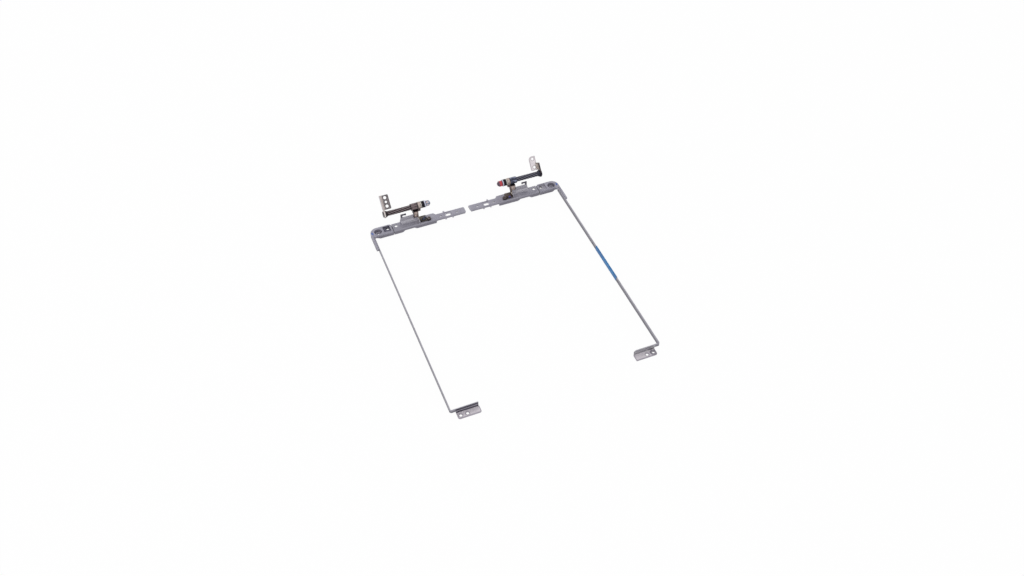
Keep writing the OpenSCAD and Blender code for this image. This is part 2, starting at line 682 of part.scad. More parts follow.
// Bracket screwed to the rail: foot, upright neck, side plate and the ear round the shaft.
// The side plate stops below the collar, and a block under the ear joins the two.
module hinge_seat() {
    bore_r = journal_r + journal_play;
    side_from = neck_to - seat_t;
    side_back = axis_v + ear_r;
    block_low = axis_w - ear_r - block_drop;
    hood_low = rail_top + wall_h + fix_play;
    lobe_v = seat_screw_at[1][1];
    color(nickel) difference() {
        union() {
            // Foot on the rail: square, with a round lobe under the inner screw
            translate([0, 0, rail_top]) linear_extrude(foot_t) union() {
                translate([side_from, foot_front])
                    square([foot_square_to - side_from, neck_back - foot_front]);
                translate([foot_square_to - eps, lobe_v - foot_r])
                    square([foot_to - foot_r - foot_square_to + eps, 2 * foot_r]);
                translate([foot_to - foot_r, lobe_v]) circle(r = foot_r);
            }
            // Neck and side plate, bent round one vertical corner
            intersection() {
                translate([0, 0, rail_top]) linear_extrude(neck_top - rail_top) union() {
                    translate([neck_from, neck_front])
                        square([neck_w - seat_bend_r, seat_t]);
                    translate([side_from, neck_front + seat_bend_r])
                        square([seat_t, side_back - neck_front - seat_bend_r]);
                    translate([neck_to - seat_bend_r, neck_front + seat_bend_r]) intersection() {
                        difference() {
                            circle(r = seat_bend_r);
                            circle(r = seat_bend_r - seat_t);
                        }
                        translate([-eps, -seat_bend_r]) square([seat_bend_r + eps, seat_bend_r + eps]);
                    }
                }
                translate([neck_from, 0, 0]) rotate([90, 0, 90]) linear_extrude(neck_w)
                    polygon([[neck_front, rail_top], [neck_back, rail_top],
                        [neck_back, rail_top + seat_heel], [side_back, block_low],
                        [side_back, neck_top], [neck_front, neck_top]]);
            }
            // Hood behind the neck: an outer wall above the rail's back wall, and a top
            translate([neck_from, neck_back - eps, hood_low])
                cube([seat_t, hood_depth + eps, neck_top - hood_low]);
            translate([neck_from, neck_back - eps, neck_top - hood_t])
                cube([neck_w - seat_t + eps, hood_depth + eps, hood_t]);
            // Block that joins the side plate to the ear
            translate([side_from, axis_v - block_half, block_low])
                cube([ear_to - side_from - block_step, 2 * block_half, neck_top - block_low]);
            translate([ear_from, axis_v - block_half, block_low])
                cube([ear_w - block_step, 2 * block_half, axis_w - bore_r - block_low - ear_wall]);
            on_axis(ear_from) cylinder(r = ear_r, h = ear_w);
        }
        on_axis(ear_from - eps) cylinder(r = bore_r, h = ear_w + 2 * eps);
        for (p = seat_screw_at) translate([p[0], p[1], rail_top - eps])
            cylinder(d = seat_shank_d + fix_play, h = foot_t + 2 * eps);
        // Round dimple pressed into the neck
        translate([neck_from + (neck_w - seat_bend_r) / 2, neck_front - eps, (foot_top + neck_top) / 2])
            rotate([-90, 0, 0]) cylinder(d = dimple_d, h = dimple_deep + eps);
    }
}

// Two pan-head screws through foot and rail, with a cross recess
module seat_screws() {
    color(black) for (p = seat_screw_at) translate([p[0], p[1], 0]) difference() {
        union() {
            translate([0, 0, foot_top]) cylinder(d = seat_head_d, h = seat_head_h);
            translate([0, 0, rail_top - rail_t - seat_shank_out])
                cylinder(d = seat_shank_d, h = foot_t + rail_t + seat_shank_out + eps);
        }
        for (turn = [0, 90]) translate([0, 0, foot_top + seat_head_h]) rotate(turn)
            cube([seat_head_d * 0.6, seat_cross_w, seat_head_h], center = true);
    }
}

// A rivet drawn along +Z whose grip starts at zero
module rivet(grip) {
    cylinder(d = rivet_d, h = grip);
    translate([0, 0, -rivet_head_h]) cylinder(d = rivet_head_d, h = rivet_head_h);
    translate([0, 0, grip]) cylinder(d = rivet_head_d, h = rivet_head_h);
}

module arm_rivets() {
    color(nickel) for (at = arm_rivet_at)
        translate([-corner_out, -at, arm_rise + arm_h / 2]) rotate([0, 90, 0]) rivet(corner_out);
}

// Rivets with one head under the tongue, filed flush in the square pocket
module rail_rivets() {
    color(nickel) for (p = rail_rivet_at) translate([p[0], p[1], block_floor - rail_t]) {
        translate([0, 0, -rivet_head_h]) cylinder(d = rivet_head_d, h = rivet_head_h);
        translate([0, 0, -eps]) cylinder(d = rivet_d, h = square_floor - block_floor + rail_t + eps);
    }
}

// Section of the base plate: flange low, wall rising on the outer side, a round bend between
module plate_section(edge) {
    low = -flange_under;
    translate([plate_from + bend_r - eps, low])
        square([edge - plate_from - bend_r + eps, plate_t]);
    translate([plate_from, low + bend_r - eps]) square([plate_t, eye_r - low - bend_r + eps]);
    translate([plate_from + bend_r, low + bend_r]) intersection() {
        difference() {
            circle(r = bend_r);
            circle(r = bend_r - plate_t);
        }
        translate([-bend_r, -bend_r]) square(bend_r);
    }
}

// Base plates are drawn with their length along +Y and the flange level, then tilted
module tilted(tilt) {
    translate([0, axis_v, axis_w]) rotate([tilt, 0, 0]) children();
}

// Eye round the shaft and the start of the wall that grows out of it
module plate_eye() {
    rotate([90, 0, 90]) translate([0, 0, plate_from]) linear_extrude(plate_t) union() {
        circle(r = eye_r);
        translate([0, bend_r - flange_under])
            square([flange_from + eps, eye_r + flange_under - bend_r]);
    }
}

module plate_bores(diameters, hole_u) {
    for (i = [0 : len(diameters) - 1])
        translate([hole_u, base_hole_from + i * base_hole_pitch / (len(diameters) - 1),
            -flange_under - eps]) cylinder(d = diameters[i], h = plate_t + 2 * eps);
    translate([plate_from - eps, 0, 0]) rotate([0, 90, 0])
        cylinder(r = core_r + fix_play / 2, h = plate_t + 2 * eps);
}

// Left base plate: square flange with three holes beside a full-length wall
module left_plate() {
    color(nickel) tilted(tilt_left) difference() {
        union() {
            plate_eye();
            translate([0, flange_to, 0]) rotate([90, 0, 0])
                linear_extrude(flange_to - flange_from) plate_section(flange_edge);
        }
        plate_bores([base_hole_d, middle_hole_d, base_hole_d], base_hole_u);
        for (s = [flange_from, flange_to]) translate([flange_edge, s, -flange_under]) rotate(45)
            cube([small_corner, small_corner, 4 * plate_t], center = true);
    }
}

// Right base plate: rounded flange with two holes that reaches past a shorter wall
module right_plate() {
    color(nickel) tilted(tilt_right) difference() {
        union() {
            plate_eye();
            translate([0, short_wall, 0]) rotate([90, 0, 0])
                linear_extrude(short_wall - flange_from) plate_section(right_flange_edge);
            translate([0, 0, -flange_under]) linear_extrude(plate_t) difference() {
                translate([step_edge, short_wall - eps])
                    square([right_flange_edge - step_edge, flange_to - short_wall + eps]);
                translate([right_flange_edge - round_corner, flange_to - round_corner]) difference() {
                    square(round_corner + eps);
                    circle(r = round_corner);
                }
            }
        }
        plate_bores([right_hole_d, right_hole_d], right_hole_u);
        translate([right_flange_edge, flange_from, -flange_under]) rotate(45)
            cube([small_corner, small_corner, 4 * plate_t], center = true);
    }
}

// Flats cut both sides of a round shape, drawn along +Z
module flatted(r, flats, length) {
    intersection() {
        cylinder(r = r, h = length);
        translate([-r, -flats / 2, 0]) cube([2 * r, flats, length]);
    }
}

// Turned shaft: staked head, shoulder, core, collar, journal and flatted threaded end
module shaft() {
    color(dark) {
        on_axis(plate_from - stake_h) cylinder(r = stake_r, h = stake_h);
        on_axis(plate_from - eps) cylinder(r = core_r, h = collar_from - plate_from + 2 * eps);
        on_axis(plate_to) cylinder(r = shoulder_r, h = shoulder_w);
        on_axis(shoulder_to) cylinder(r1 = shoulder_r, r2 = sleeve_r - sleeve_groove, h = shoulder_taper);
        on_axis(collar_from) flatted(collar_r, collar_flats, collar_w);
        on_axis(collar_to - eps) cylinder(r = journal_r, h = ear_to - collar_to + eps);
        on_axis(ear_to - eps) flatted(thread_r, thread_flats, thread_to - ear_to + eps);
    }
}

// Sleeve over the shaft with ridges that wind round it
module spiral_sleeve(right) {
    length = collar_from - sleeve_from;
    points = 6 * sleeve_starts;
    turn = 360 * length / sleeve_pitch;
    mid_r = sleeve_r - sleeve_groove / 2;
    color(dark) on_axis(sleeve_from) difference() {
        linear_extrude(length, twist = right ? turn : -turn, slices = ceil(length * 1.4))
            polygon([for (i = [0 : points - 1])
                let (a = 360 * i / points, r = mid_r + sleeve_groove / 2 * cos(sleeve_starts * a))
                [r * cos(a), r * sin(a)]]);
        translate([0, 0, -eps]) cylinder(r = core_r + fix_play / 2, h = length + 2 * eps);
    }
}

module collar_washer() {
    color(black) on_axis(collar_to) ring(friction_r, journal_r + fix_play / 2, collar_washer_t);
}

// A washer whose hole has the shaft's two flats
module keyed_washer(r, thick) {
    difference() {
        cylinder(r = r, h = thick);
        translate([0, 0, -eps])
            flatted(thread_r + fix_play / 2, thread_flats + fix_play, thick + 2 * eps);
    }
}

module friction_washer() {
    color(bright) on_axis(ear_to) keyed_washer(friction_r, friction_t);
}

// Dished springs in a row, each turned against its neighbour
module disc_springs() {
    step = spring_t + spring_dish;
    bore = thread_r + spring_play;
    color(black) on_axis(springs_from) for (i = [0 : spring_count - 1])
        translate([0, 0, i * step]) rotate_extrude()
            polygon(i % 2 == 0
                ? [[bore, 0], [spring_r, spring_dish], [spring_r, step], [bore, spring_t]]
                : [[bore, spring_dish], [spring_r, 0], [spring_r, spring_t], [bore, step]]);
}

module lock_washer() {
    color(bright) on_axis(springs_to) keyed_washer(lock_r, lock_t);
}

// Hexagon nut with both faces chamfered
module nut() {
    corner = nut_af / sqrt(3);
    color(bright) on_axis(lock_to) difference() {
        intersection() {
            rotate(30) cylinder(r = corner, h = nut_h, $fn = 6);
            rotate_extrude() polygon([[0, 0], [corner - nut_chamfer, 0], [corner, nut_chamfer],
                [corner, nut_h - nut_chamfer], [corner - nut_chamfer, nut_h], [0, nut_h]]);
        }
        translate([0, 0, -eps]) cylinder(r = thread_r + fix_play / 2, h = nut_h + 2 * eps);
    }
}

// Protective film folded over the top edge of the right arm
module arm_film() {
    run = film_to - film_from;
    color([0.24, 0.47, 0.70]) translate([0, -film_to, 0]) difference() {
        translate([-arm_t - film_t, 0, arm_rise]) cube([arm_t + 2 * film_t, run, arm_h + film_t]);
        translate([-arm_t, -eps, arm_rise - eps]) cube([arm_t, run + 2 * eps, arm_h + eps]);
    }
}

half(false) side_arm(false);  // left_side_arm
half(false) corner_bracket();  // left_corner_bracket
half(false) rail();  // left_rail
half(false) hinge_seat();  // left_hinge_seat
half(false) seat_screws();  // left_seat_screws
half(false) arm_rivets();  // left_arm_rivets
half(false) rail_rivets();  // left_rail_rivets
half(false) left_plate();  // left_base_plate
half(false) shaft();  // left_shaft
half(false) spiral_sleeve(false);  // left_spiral_sleeve
half(false) collar_washer();  // left_collar_washer
half(false) friction_washer();  // left_friction_washer
half(false) disc_springs();  // left_disc_springs
half(false) lock_washer();  // left_lock_washer
half(false) nut();  // left_nut
half(true) side_arm(true);  // right_side_arm
half(true) corner_bracket();  // right_corner_bracket
half(true) rail();  // right_rail
half(true) hinge_seat();  // right_hinge_seat
half(true) seat_screws();  // right_seat_screws
half(true) arm_rivets();  // right_arm_rivets
half(true) rail_rivets();  // right_rail_rivets
half(true) right_plate();  // right_base_plate
half(true) shaft();  // right_shaft
half(true) spiral_sleeve(true);  // right_spiral_sleeve
half(true) collar_washer();  // right_collar_washer
half(true) friction_washer();  // right_friction_washer
half(true) disc_springs();  // right_disc_springs
half(true) lock_washer();  // right_lock_washer
half(true) nut();  // right_nut
half(true) arm_film();  // right_arm_film
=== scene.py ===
"""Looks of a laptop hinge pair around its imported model.

Every piece is shaped in millimetres on one half of the pair: u runs inward along the rail from
the inner corner, v backward from the rail's front edge, and w up from the floor. Bench turns
those places into the shared frame, where the right half is the mirror image of the left.
"""

from __future__ import annotations

import logging
import math
from dataclasses import dataclass
from enum import Enum
from typing import Callable

import bmesh
import bpy
from mathutils import Matrix, Vector, noise
from mathutils.kdtree import KDTree

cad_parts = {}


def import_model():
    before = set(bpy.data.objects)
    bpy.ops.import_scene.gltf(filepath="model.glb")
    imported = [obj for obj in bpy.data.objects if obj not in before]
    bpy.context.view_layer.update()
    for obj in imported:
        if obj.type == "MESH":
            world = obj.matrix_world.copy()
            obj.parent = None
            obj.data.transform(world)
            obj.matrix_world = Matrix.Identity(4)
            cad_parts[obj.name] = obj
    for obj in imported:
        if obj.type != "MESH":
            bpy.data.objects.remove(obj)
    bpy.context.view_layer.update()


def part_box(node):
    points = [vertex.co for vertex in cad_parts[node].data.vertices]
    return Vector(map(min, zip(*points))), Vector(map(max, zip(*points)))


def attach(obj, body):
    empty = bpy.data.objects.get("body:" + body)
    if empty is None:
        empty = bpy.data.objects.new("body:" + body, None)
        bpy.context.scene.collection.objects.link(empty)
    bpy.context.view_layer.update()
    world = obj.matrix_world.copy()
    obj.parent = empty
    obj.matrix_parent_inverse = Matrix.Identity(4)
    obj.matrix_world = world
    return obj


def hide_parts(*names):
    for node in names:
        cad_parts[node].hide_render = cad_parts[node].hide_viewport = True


LOG = logging.getLogger("hinge_pair")
MM = 0.001
# The body that holds everything on the display's side
LID = "lcd_brackets"
# Stretch of a noise pattern that its middle tones fill
GRAIN_SPAN = {"From Min": 0.3, "From Max": 0.7}
CLOUD_SPAN = {"From Min": 0.38, "From Max": 0.66}
# How much sky a point sees, from a deep corner to an open face
SKY_SPAN = {"From Min": 0.45, "From Max": 0.95}
# How far a rounded normal leans from the flat one, from a face to a sharp edge
LEAN_SPAN = {"From Min": 0.995, "From Max": 0.86}
# A radius that limits nothing
OPEN = 99.0
# How far from a boundary, in millimetres, small faces still take the finish beside it
NEAR = 0.12
AROUND = 0.2
Solid = bmesh.types.BMesh
Radius = Callable[[float, float], float]


class Side(Enum):
    """The two halves of the pair."""

    LEFT = "left"
    RIGHT = "right"


class Axis(Enum):
    """A half's own directions, as an index into (u, v, w)."""

    U = 0
    V = 1
    W = 2


@dataclass(frozen=True)
class Bench:
    """Where a half's own places lie in the shared frame, in millimetres."""

    half_span: float
    back: float
    axis_v: float = 11.5
    axis_w: float = 20.6
    rail_len: float = 95.0

    @classmethod
    def from_frame(cls) -> Bench:
        """Reads the halves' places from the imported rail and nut.

        Returns:
            The bench for both halves.
        """
        rail_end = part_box("left_rail")[1].x / MM
        low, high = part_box("left_nut")
        return cls(
            half_span=cls.rail_len - rail_end,
            back=(low.y + high.y) / 2 / MM - cls.axis_v,
        )

    def matrix(self, side: Side) -> Matrix:
        """Turns places on a half into the shared frame.

        Args:
            side: The half that the place is on.

        Returns:
            A matrix from millimetres on the half to metres in the frame.
        """
        sign = 1 if side is Side.LEFT else -1
        move = Matrix.Translation((-sign * self.half_span, self.back, 0))
        return Matrix.Scale(MM, 4) @ move @ Matrix.Diagonal((sign, 1, 1, 1))

    def about_shaft(self) -> Matrix:
        """Turns a shape drawn along +X about its own axis onto the hinge axis."""
        return Matrix.Translation((0, self.axis_v, self.axis_w))


# Finishes


def linear(hex_colour: str) -> tuple[float, float, float, float]:
    """Turns an sRGB colour into the linear one that a shader takes.

    Args:
        hex_colour: The colour as #RRGGBB.

    Returns:
        Red, green, blue and an alpha of one.
    """
    channels = [int(hex_colour[i : i + 2], 16) / 255 for i in (1, 3, 5)]
    low = [c / 12.92 if c <= 0.04045 else ((c + 0.055) / 1.055) ** 2.4 for c in channels]
    return (low[0], low[1], low[2], 1.0)


def add(tree: bpy.types.NodeTree, kind: str, links: dict | None = None, **settings: object) -> bpy.types.Node:
    """Adds one node with its settings and links.

    Args:
        tree: The node tree that takes the node.
        kind: Blender's name for the node, without the word ShaderNode.
        links: Input name or number to the output socket that feeds it, or to a fixed value.
        **settings: The node's own properties.

    Returns:
        The new node.
    """
    made = tree.nodes.new("ShaderNode" + kind)
    for name, value in settings.items():
        setattr(made, name, value)
    for name, source in (links or {}).items():
        if isinstance(source, bpy.types.NodeSocket):
            tree.links.new(source, made.inputs[name])
        else:
            made.inputs[name].default_value = source
    return made


def emptied(owner: bpy.types.Material | bpy.types.World) -> bpy.types.NodeTree:
    """Gives a material or a world an empty node tree.

    Args:
        owner: The material or the world.

    Returns:
        Its node tree.
    """
    owner.use_nodes = True
    owner.node_tree.nodes.clear()
    return owner.node_tree


@dataclass(frozen=True)
class Metal:
    """A metal surface with cloudy tone and fine grain, painted shade on its low parts and in its corners, and
    an edge colour on its rims that is a painted highlight where it is lighter.
    """

    name: str
    colour: str
    cloud: str
    # Colour of the painted shade in corners and recesses, where little sky is seen
    crevice_shade: str
    # Colour along the edges; where it is lighter than the colour, it is a painted highlight
    edge: str
    # Colour of the painted shade on faces low down, from low_top_mm down over low_deep_mm
    low: str | None = None
    low_top_mm: float = 6.1
    low_deep_mm: float = 1.6
    # Colour of the painted highlight on raised ridges, read from the attribute ridge
    streak: str | None = None
    metallic: float = 1.0
    roughness: float = 0.42
    cloud_mm: float = 5.0
    grain_mm: float = 0.5
    grain_share: float = 0.035
    grain_deep_mm: float = 0.006
    # How far the painted shade in corners reaches, and how much of its colour it takes
    crevice_shade_mm: float = 1.4
    crevice_shade_share: float = 0.45
    # True where neighbouring pieces add to its painted shade too
    near: bool = False
    # How far round an edge the edge colour reaches, and how much of it is taken
    edge_band_mm: float = 0.3
    edge_band_share: float = 0.5
    brush: tuple[float, float, float] = (1.0, 1.0, 1.0)
    outlined: bool = False

    def material(self) -> bpy.types.Material:
        """Makes the material, once for each name."""
        known = bpy.data.materials.get(self.name)
        return known or self._make()

    def _make(self) -> bpy.types.Material:
        """Builds the node tree.

        Returns:
            The new material.
        """
        made = bpy.data.materials.new(self.name)
        tree = emptied(made)
        place = add(tree, "TexCoord").outputs["Object"]
        millimetres = add(tree, "VectorMath", {0: place, 1: (1 / MM,) * 3}, operation="MULTIPLY").outputs[0]
        along = add(tree, "VectorMath", {0: millimetres, 1: self.brush}, operation="MULTIPLY").outputs[0]
        noises = [
            add(tree, "TexNoise", {"Vector": along, "Scale": 1 / size, "Detail": 3.0, "Roughness": rough})
            for size, rough in ((self.cloud_mm, 0.55), (self.grain_mm, 0.65))
        ]
        clouds, grain = (one.outputs["Fac"] for one in noises)
        soft = {"interpolation_type": "SMOOTHSTEP"}
        cloudy = add(tree, "MapRange", {"Value": clouds, **CLOUD_SPAN}, **soft).outputs[0]
        paint = {"A": linear(self.colour), "B": linear(self.cloud)}
        tone = add(tree, "Mix", {"Factor": cloudy, **paint}, data_type="RGBA")
        # Painted highlight: raised ridges take the streak colour
        if self.streak:
            raised = add(tree, "Attribute", attribute_name="ridge").outputs["Fac"]
            paint = {"A": self._colour(tone), "B": linear(self.streak)}
            tone = add(tree, "Mix", {"Factor": raised, **paint}, data_type="RGBA")
        # Painted shade: faces lower than low_top_mm turn towards the low colour
        if self.low:
            height = add(tree, "SeparateXYZ", {0: millimetres}).outputs["Z"]
            bounds = {"From Min": self.low_top_mm, "From Max": self.low_top_mm - self.low_deep_mm}
            sunk = add(tree, "MapRange", {"Value": height, **bounds}, **soft).outputs[0]
            paint = {"A": self._colour(tone), "B": linear(self.low)}
            tone = add(tree, "Mix", {"Factor": sunk, **paint}, data_type="RGBA")
        shares = {"To Min": 1 - self.grain_share, "To Max": 1 + self.grain_share * 0.7}
        speck = add(tree, "MapRange", {"Value": grain, **GRAIN_SPAN, **shares}).outputs[0]
        same = add(tree, "CombineXYZ", {0: speck, 1: speck, 2: speck}).outputs[0]
        speckled = add(tree, "VectorMath", {0: self._colour(tone), 1: same}, operation="MULTIPLY").outputs[0]
        # Painted shade: where little sky is seen, in corners, recesses and beside other pieces, the colour
        # turns towards the shade colour
        reach = {"Distance": self.crevice_shade_mm * MM}
        open_sky = add(tree, "AmbientOcclusion", reach, samples=12, only_local=not self.near).outputs["AO"]
        shares = {"To Min": self.crevice_shade_share, "To Max": 0.0}
        crevice_amount = add(tree, "MapRange", {"Value": open_sky, **SKY_SPAN, **shares}).outputs[0]
        paint = {"A": speckled, "B": linear(self.crevice_shade)}
        crevice_shaded = add(tree, "Mix", {"Factor": crevice_amount, **paint}, data_type="RGBA")
        # Painted highlight where the edge colour is lighter: rounded edges that see the sky take the edge
        # colour, and an outlined finish takes it on its marked rim instead
        rounded = add(tree, "Bevel", {"Radius": self.edge_band_mm * MM}, samples=8).outputs[0]
        flat = add(tree, "NewGeometry").outputs["Normal"]
        facing = add(tree, "VectorMath", {0: rounded, 1: flat}, operation="DOT_PRODUCT").outputs["Value"]
        shares = {"To Min": 0.0, "To Max": self.edge_band_share}
        edge_band = add(tree, "MapRange", {"Value": facing, **LEAN_SPAN, **shares}).outputs[0]
        edge_mask = add(tree, "Math", {0: edge_band, 1: open_sky}, operation="MULTIPLY").outputs[0]
        if self.outlined:
            edge_mask = add(tree, "Attribute", attribute_name="rim").outputs["Fac"]
        paint = {"A": self._colour(crevice_shaded), "B": linear(self.edge)}
        final = add(tree, "Mix", {"Factor": edge_mask, **paint}, data_type="RGBA")
        shares = {"To Min": self.roughness * 0.85, "To Max": min(1.0, self.roughness * 1.2)}
        rough = add(tree, "MapRange", {"Value": grain, **GRAIN_SPAN, **shares}).outputs[0]
        relief = add(tree, "Bump", {"Height": grain, "Distance": self.grain_deep_mm * MM, "Strength": 0.6})
        skin = {"Base Color": self._colour(final), "Roughness": rough, "Metallic": self.metallic}
        shader = add(tree, "BsdfPrincipled", {**skin, "Normal": relief.outputs[0]})
        add(tree, "OutputMaterial", {"Surface": shader.outputs[0]})
        return made

    @staticmethod
    def _colour(mix: bpy.types.Node) -> bpy.types.NodeSocket:
        """The colour output of a mix node."""
        return next(s for s in mix.outputs if s.type == "RGBA")


@dataclass(frozen=True)
class Coating:
    """A thin coat of paint, lacquer or plastic with streaks and a soft gloss."""

    name: str
    colour: str
    streak: str
    roughness: float = 0.35
    streak_mm: float = 1.2
    clear: float = 0.0

    def material(self) -> bpy.types.Material:
        """Makes the material, once for each name."""
        known = bpy.data.materials.get(self.name)
        return known or self._make()

    def _make(self) -> bpy.types.Material:
        """Builds the node tree.

        Returns:
            The new material.
        """
        made = bpy.data.materials.new(self.name)
        tree = emptied(made)
        place = add(tree, "TexCoord").outputs["Object"]
        pattern = {"Vector": place, "Scale": 1 / (self.streak_mm * MM), "Detail": 3.0}
        streaks = add(tree, "TexNoise", pattern).outputs["Fac"]
        clear_cut = add(tree, "MapRange", {"Value": streaks, "From Min": 0.4, "From Max": 0.62}).outputs[0]
        paint = {"A": linear(self.colour), "B": linear(self.streak)}
        tone = add(tree, "Mix", {"Factor": clear_cut, **paint}, data_type="RGBA")
        relief = add(tree, "Bump", {"Height": streaks, "Distance": 0.05 * MM, "Strength": 0.5})
        skin = {"Base Color": Metal._colour(tone), "Roughness": self.roughness, "Alpha": 1.0 - self.clear}
        shader = add(tree, "BsdfPrincipled", {**skin, "Normal": relief.outputs[0]})
        add(tree, "OutputMaterial", {"Surface": shader.outputs[0]})
        return made


# Zinc-plated sheet steel, stamped: soft grey, with a painted highlight along its rounded bends and painted
# shade on the faces below them
PLATED_SHEET = Metal(
    "Zinc-plated sheet steel", colour="#918F9B", cloud="#9997A2", crevice_shade="#65626B", edge="#D2D0DA",
    low="#7C7984", metallic=0.45, roughness=0.5, cloud_mm=9.0, crevice_shade_share=0.25, edge_band_mm=1.1,
    edge_band_share=0.95,
)
# The back wall is painted paler than the sheet, painted light thrown up by the rail and table, and so are the
# upward faces just before it; its plating is matt
PLATED_WALL = Metal(
    "Zinc-plated sheet, bent up, painted light", colour="#B6B4BC", cloud="#BDBBC3", crevice_shade="#85828B", edge="#C6C4CC",
    metallic=0.45, roughness=0.6, cloud_mm=9.0, crevice_shade_share=0.2, edge_band_share=0.3,
)
# Walls of holes and the seam: dark steel, painted shade inside the holes and a dark joint at the seam
HOLE_SHADE_AND_SEAM = Metal(
    "Dark steel, painted shade in holes, dark seam", colour="#3B383F", cloud="#45424A", crevice_shade="#242227", edge="#4E4B53",
    metallic=0.6, roughness=0.6,
)
# The thin arm is the same sheet, with painted shade darker along its lower sides
PLATED_STRIP = Metal(
    "Zinc-plated strip steel", colour="#98969F", cloud="#A2A0A9", crevice_shade="#605D66", edge="#8B8993",
    low="#76747D", low_top_mm=5.9, low_deep_mm=2.4, roughness=0.45, cloud_mm=8.0,
)
# The end tabs are the same sheet painted brighter, painted light on their upward faces, faintly pink, with a
# dull sheared rim
PLATED_TAB = Metal(
    "Zinc-plated sheet steel, painted light", colour="#D5CFD5", cloud="#CFC9D1", crevice_shade="#B2ACB5", edge="#A09AA5",
    metallic=0.3, roughness=0.5, cloud_mm=6.0, grain_share=0.02, grain_deep_mm=0.002, crevice_shade_mm=0.6,
    crevice_shade_share=0.1, outlined=True,
)
# Hook and its stem: the same plating, rubbed dark in use
PLATED_HOOK = Metal(
    "Zinc-plated steel, rubbed dark", colour="#67646E", cloud="#73707A", crevice_shade="#38353C", edge="#77747E",
    roughness=0.5, cloud_mm=3.0,
)
# The tab's wall faces the light less: painted shade, darker than its flange
TAB_WALL = Metal(
    "Zinc-plated sheet steel, painted shade", colour="#625F69", cloud="#68656F", crevice_shade="#514E57", edge="#7C7983",
    roughness=0.55, crevice_shade_share=0.2, cloud_mm=7.0, edge_band_share=0.2,
)
# The right tab's wall is paler than the left one
TAB_WALL_RIGHT = Metal(
    "Satin zinc-plated sheet steel", colour="#A3A1A8", cloud="#AEADAE", crevice_shade="#7C7982", edge="#9E9BA4",
    roughness=0.5, crevice_shade_share=0.2, cloud_mm=1.6, brush=(0.4, 1.0, 1.0), edge_band_share=0.2,
)
# The coined bead on the wall is painted lighter, a painted highlight on its ridge
TAB_BEAD = Metal(
    "Coined zinc-plated steel", colour="#A5A2AC", cloud="#ABA8B2", crevice_shade="#7A7781", edge="#B1AEB8",
    roughness=0.4, crevice_shade_share=0.2,
)
# The ring pressed round the right outer hole is duller than its flange
TAB_RING = Metal(
    "Pressed zinc-plated steel", colour="#C4BFC7", cloud="#BCB7C0", crevice_shade="#625E68", edge="#8C8791",
    metallic=0.4, roughness=0.5, grain_deep_mm=0.002, crevice_shade_mm=0.7, crevice_shade_share=0.45, outlined=True,
)
# Die-cast zinc: a shade duller than the sheet, with the skin of a casting, painted shade in its pockets and
# on its lower faces, and a painted highlight along its rounded front edge
CAST_ZINC = Metal(
    "Die-cast zinc alloy", colour="#918F9C", cloud="#9997A3", crevice_shade="#625F68", edge="#D0CED8",
    low="#7A7782", low_top_mm=6.0, low_deep_mm=2.6, metallic=0.5, roughness=0.5, cloud_mm=8.0,
    grain_share=0.05, grain_deep_mm=0.015, crevice_shade_mm=1.0, crevice_shade_share=0.25, edge_band_mm=1.0, edge_band_share=0.65,
)
# Skin of the casting inside the round pocket: matt, so the pocket stays readable
CAST_POCKET = Metal(
    "Die-cast zinc alloy, pocket", colour="#9693A0", cloud="#9F9CA7", crevice_shade="#45424A", edge="#B5B2BC",
    metallic=0.25, roughness=0.6, cloud_mm=3.0, crevice_shade_mm=1.0, crevice_shade_share=0.5,
)
# The left square pocket is painted dark slate-blue: painted shade
CAST_SHADED = Metal(
    "Die-cast zinc alloy, painted shade", colour="#62606F", cloud="#6C6A7C", crevice_shade="#3B3944", edge="#85828F",
    metallic=0.3, roughness=0.55, cloud_mm=2.0,
)
# The right one is painted paler than the casting: painted light
CAST_PALE = Metal(
    "Die-cast zinc alloy, pale", colour="#A7A4AF", cloud="#AEABB6", crevice_shade="#6E6B75", edge="#B7B4BE",
    metallic=0.2, roughness=0.6, cloud_mm=5.0, crevice_shade_share=0.25,
)
# Nickel-plated steel of the ear: warm beige with small silver and brown blotches
NICKEL = Metal(
    "Nickel-plated steel", colour="#C4B6AF", cloud="#776C6A", crevice_shade="#332D2E", edge="#DAD3CE",
    roughness=0.36, cloud_mm=2.0, grain_share=0.2, near=True,
)
# The neck's face is the same nickel inside a dark rim along its edges
NICKEL_PANEL = Metal(
    "Nickel-plated steel, dark-rimmed panel", colour="#C8B8B0", cloud="#B6A69E", crevice_shade="#3A3230", edge="#46393A",
    roughness=0.38, cloud_mm=1.6, near=True, crevice_shade_share=0.4, outlined=True,
)
# The side plate is painted dark brown: painted shade on the faces that don't look forward
NICKEL_SIDE = Metal(
    "Nickel-plated steel, side in painted shade", colour="#75686A", cloud="#5E5354", crevice_shade="#2B2526", edge="#93878A",
    roughness=0.45, cloud_mm=1.8, near=True,
)
# Top and outer wall of the hood lie in the collar's shade: painted shadow, near black, also used beside the
# screw head
PAINTED_SHADOW = Metal(
    "Dark steel in painted shadow", colour="#2B272B", cloud="#39343A", crevice_shade="#121013", edge="#4A4449", metallic=0.8,
    roughness=0.5, cloud_mm=1.5, near=True,
)
# The foot is stained brown and green-grey by thread lock and grease
STAINED = Metal(
    "Stained nickel-plated steel", colour="#6B605A", cloud="#4A4340", crevice_shade="#171415", edge="#8A8178",
    roughness=0.42, cloud_mm=1.8, grain_share=0.12, near=True, crevice_shade_share=0.6,
)
# The left foot's stain is greener and thinner
STAINED_OLIVE = Metal(
    "Thinly stained nickel-plated steel", colour="#676058", cloud="#3F3A37", crevice_shade="#211D1E",
    edge="#938B82", roughness=0.42, cloud_mm=1.6, grain_share=0.12, near=True, crevice_shade_share=0.6,
)
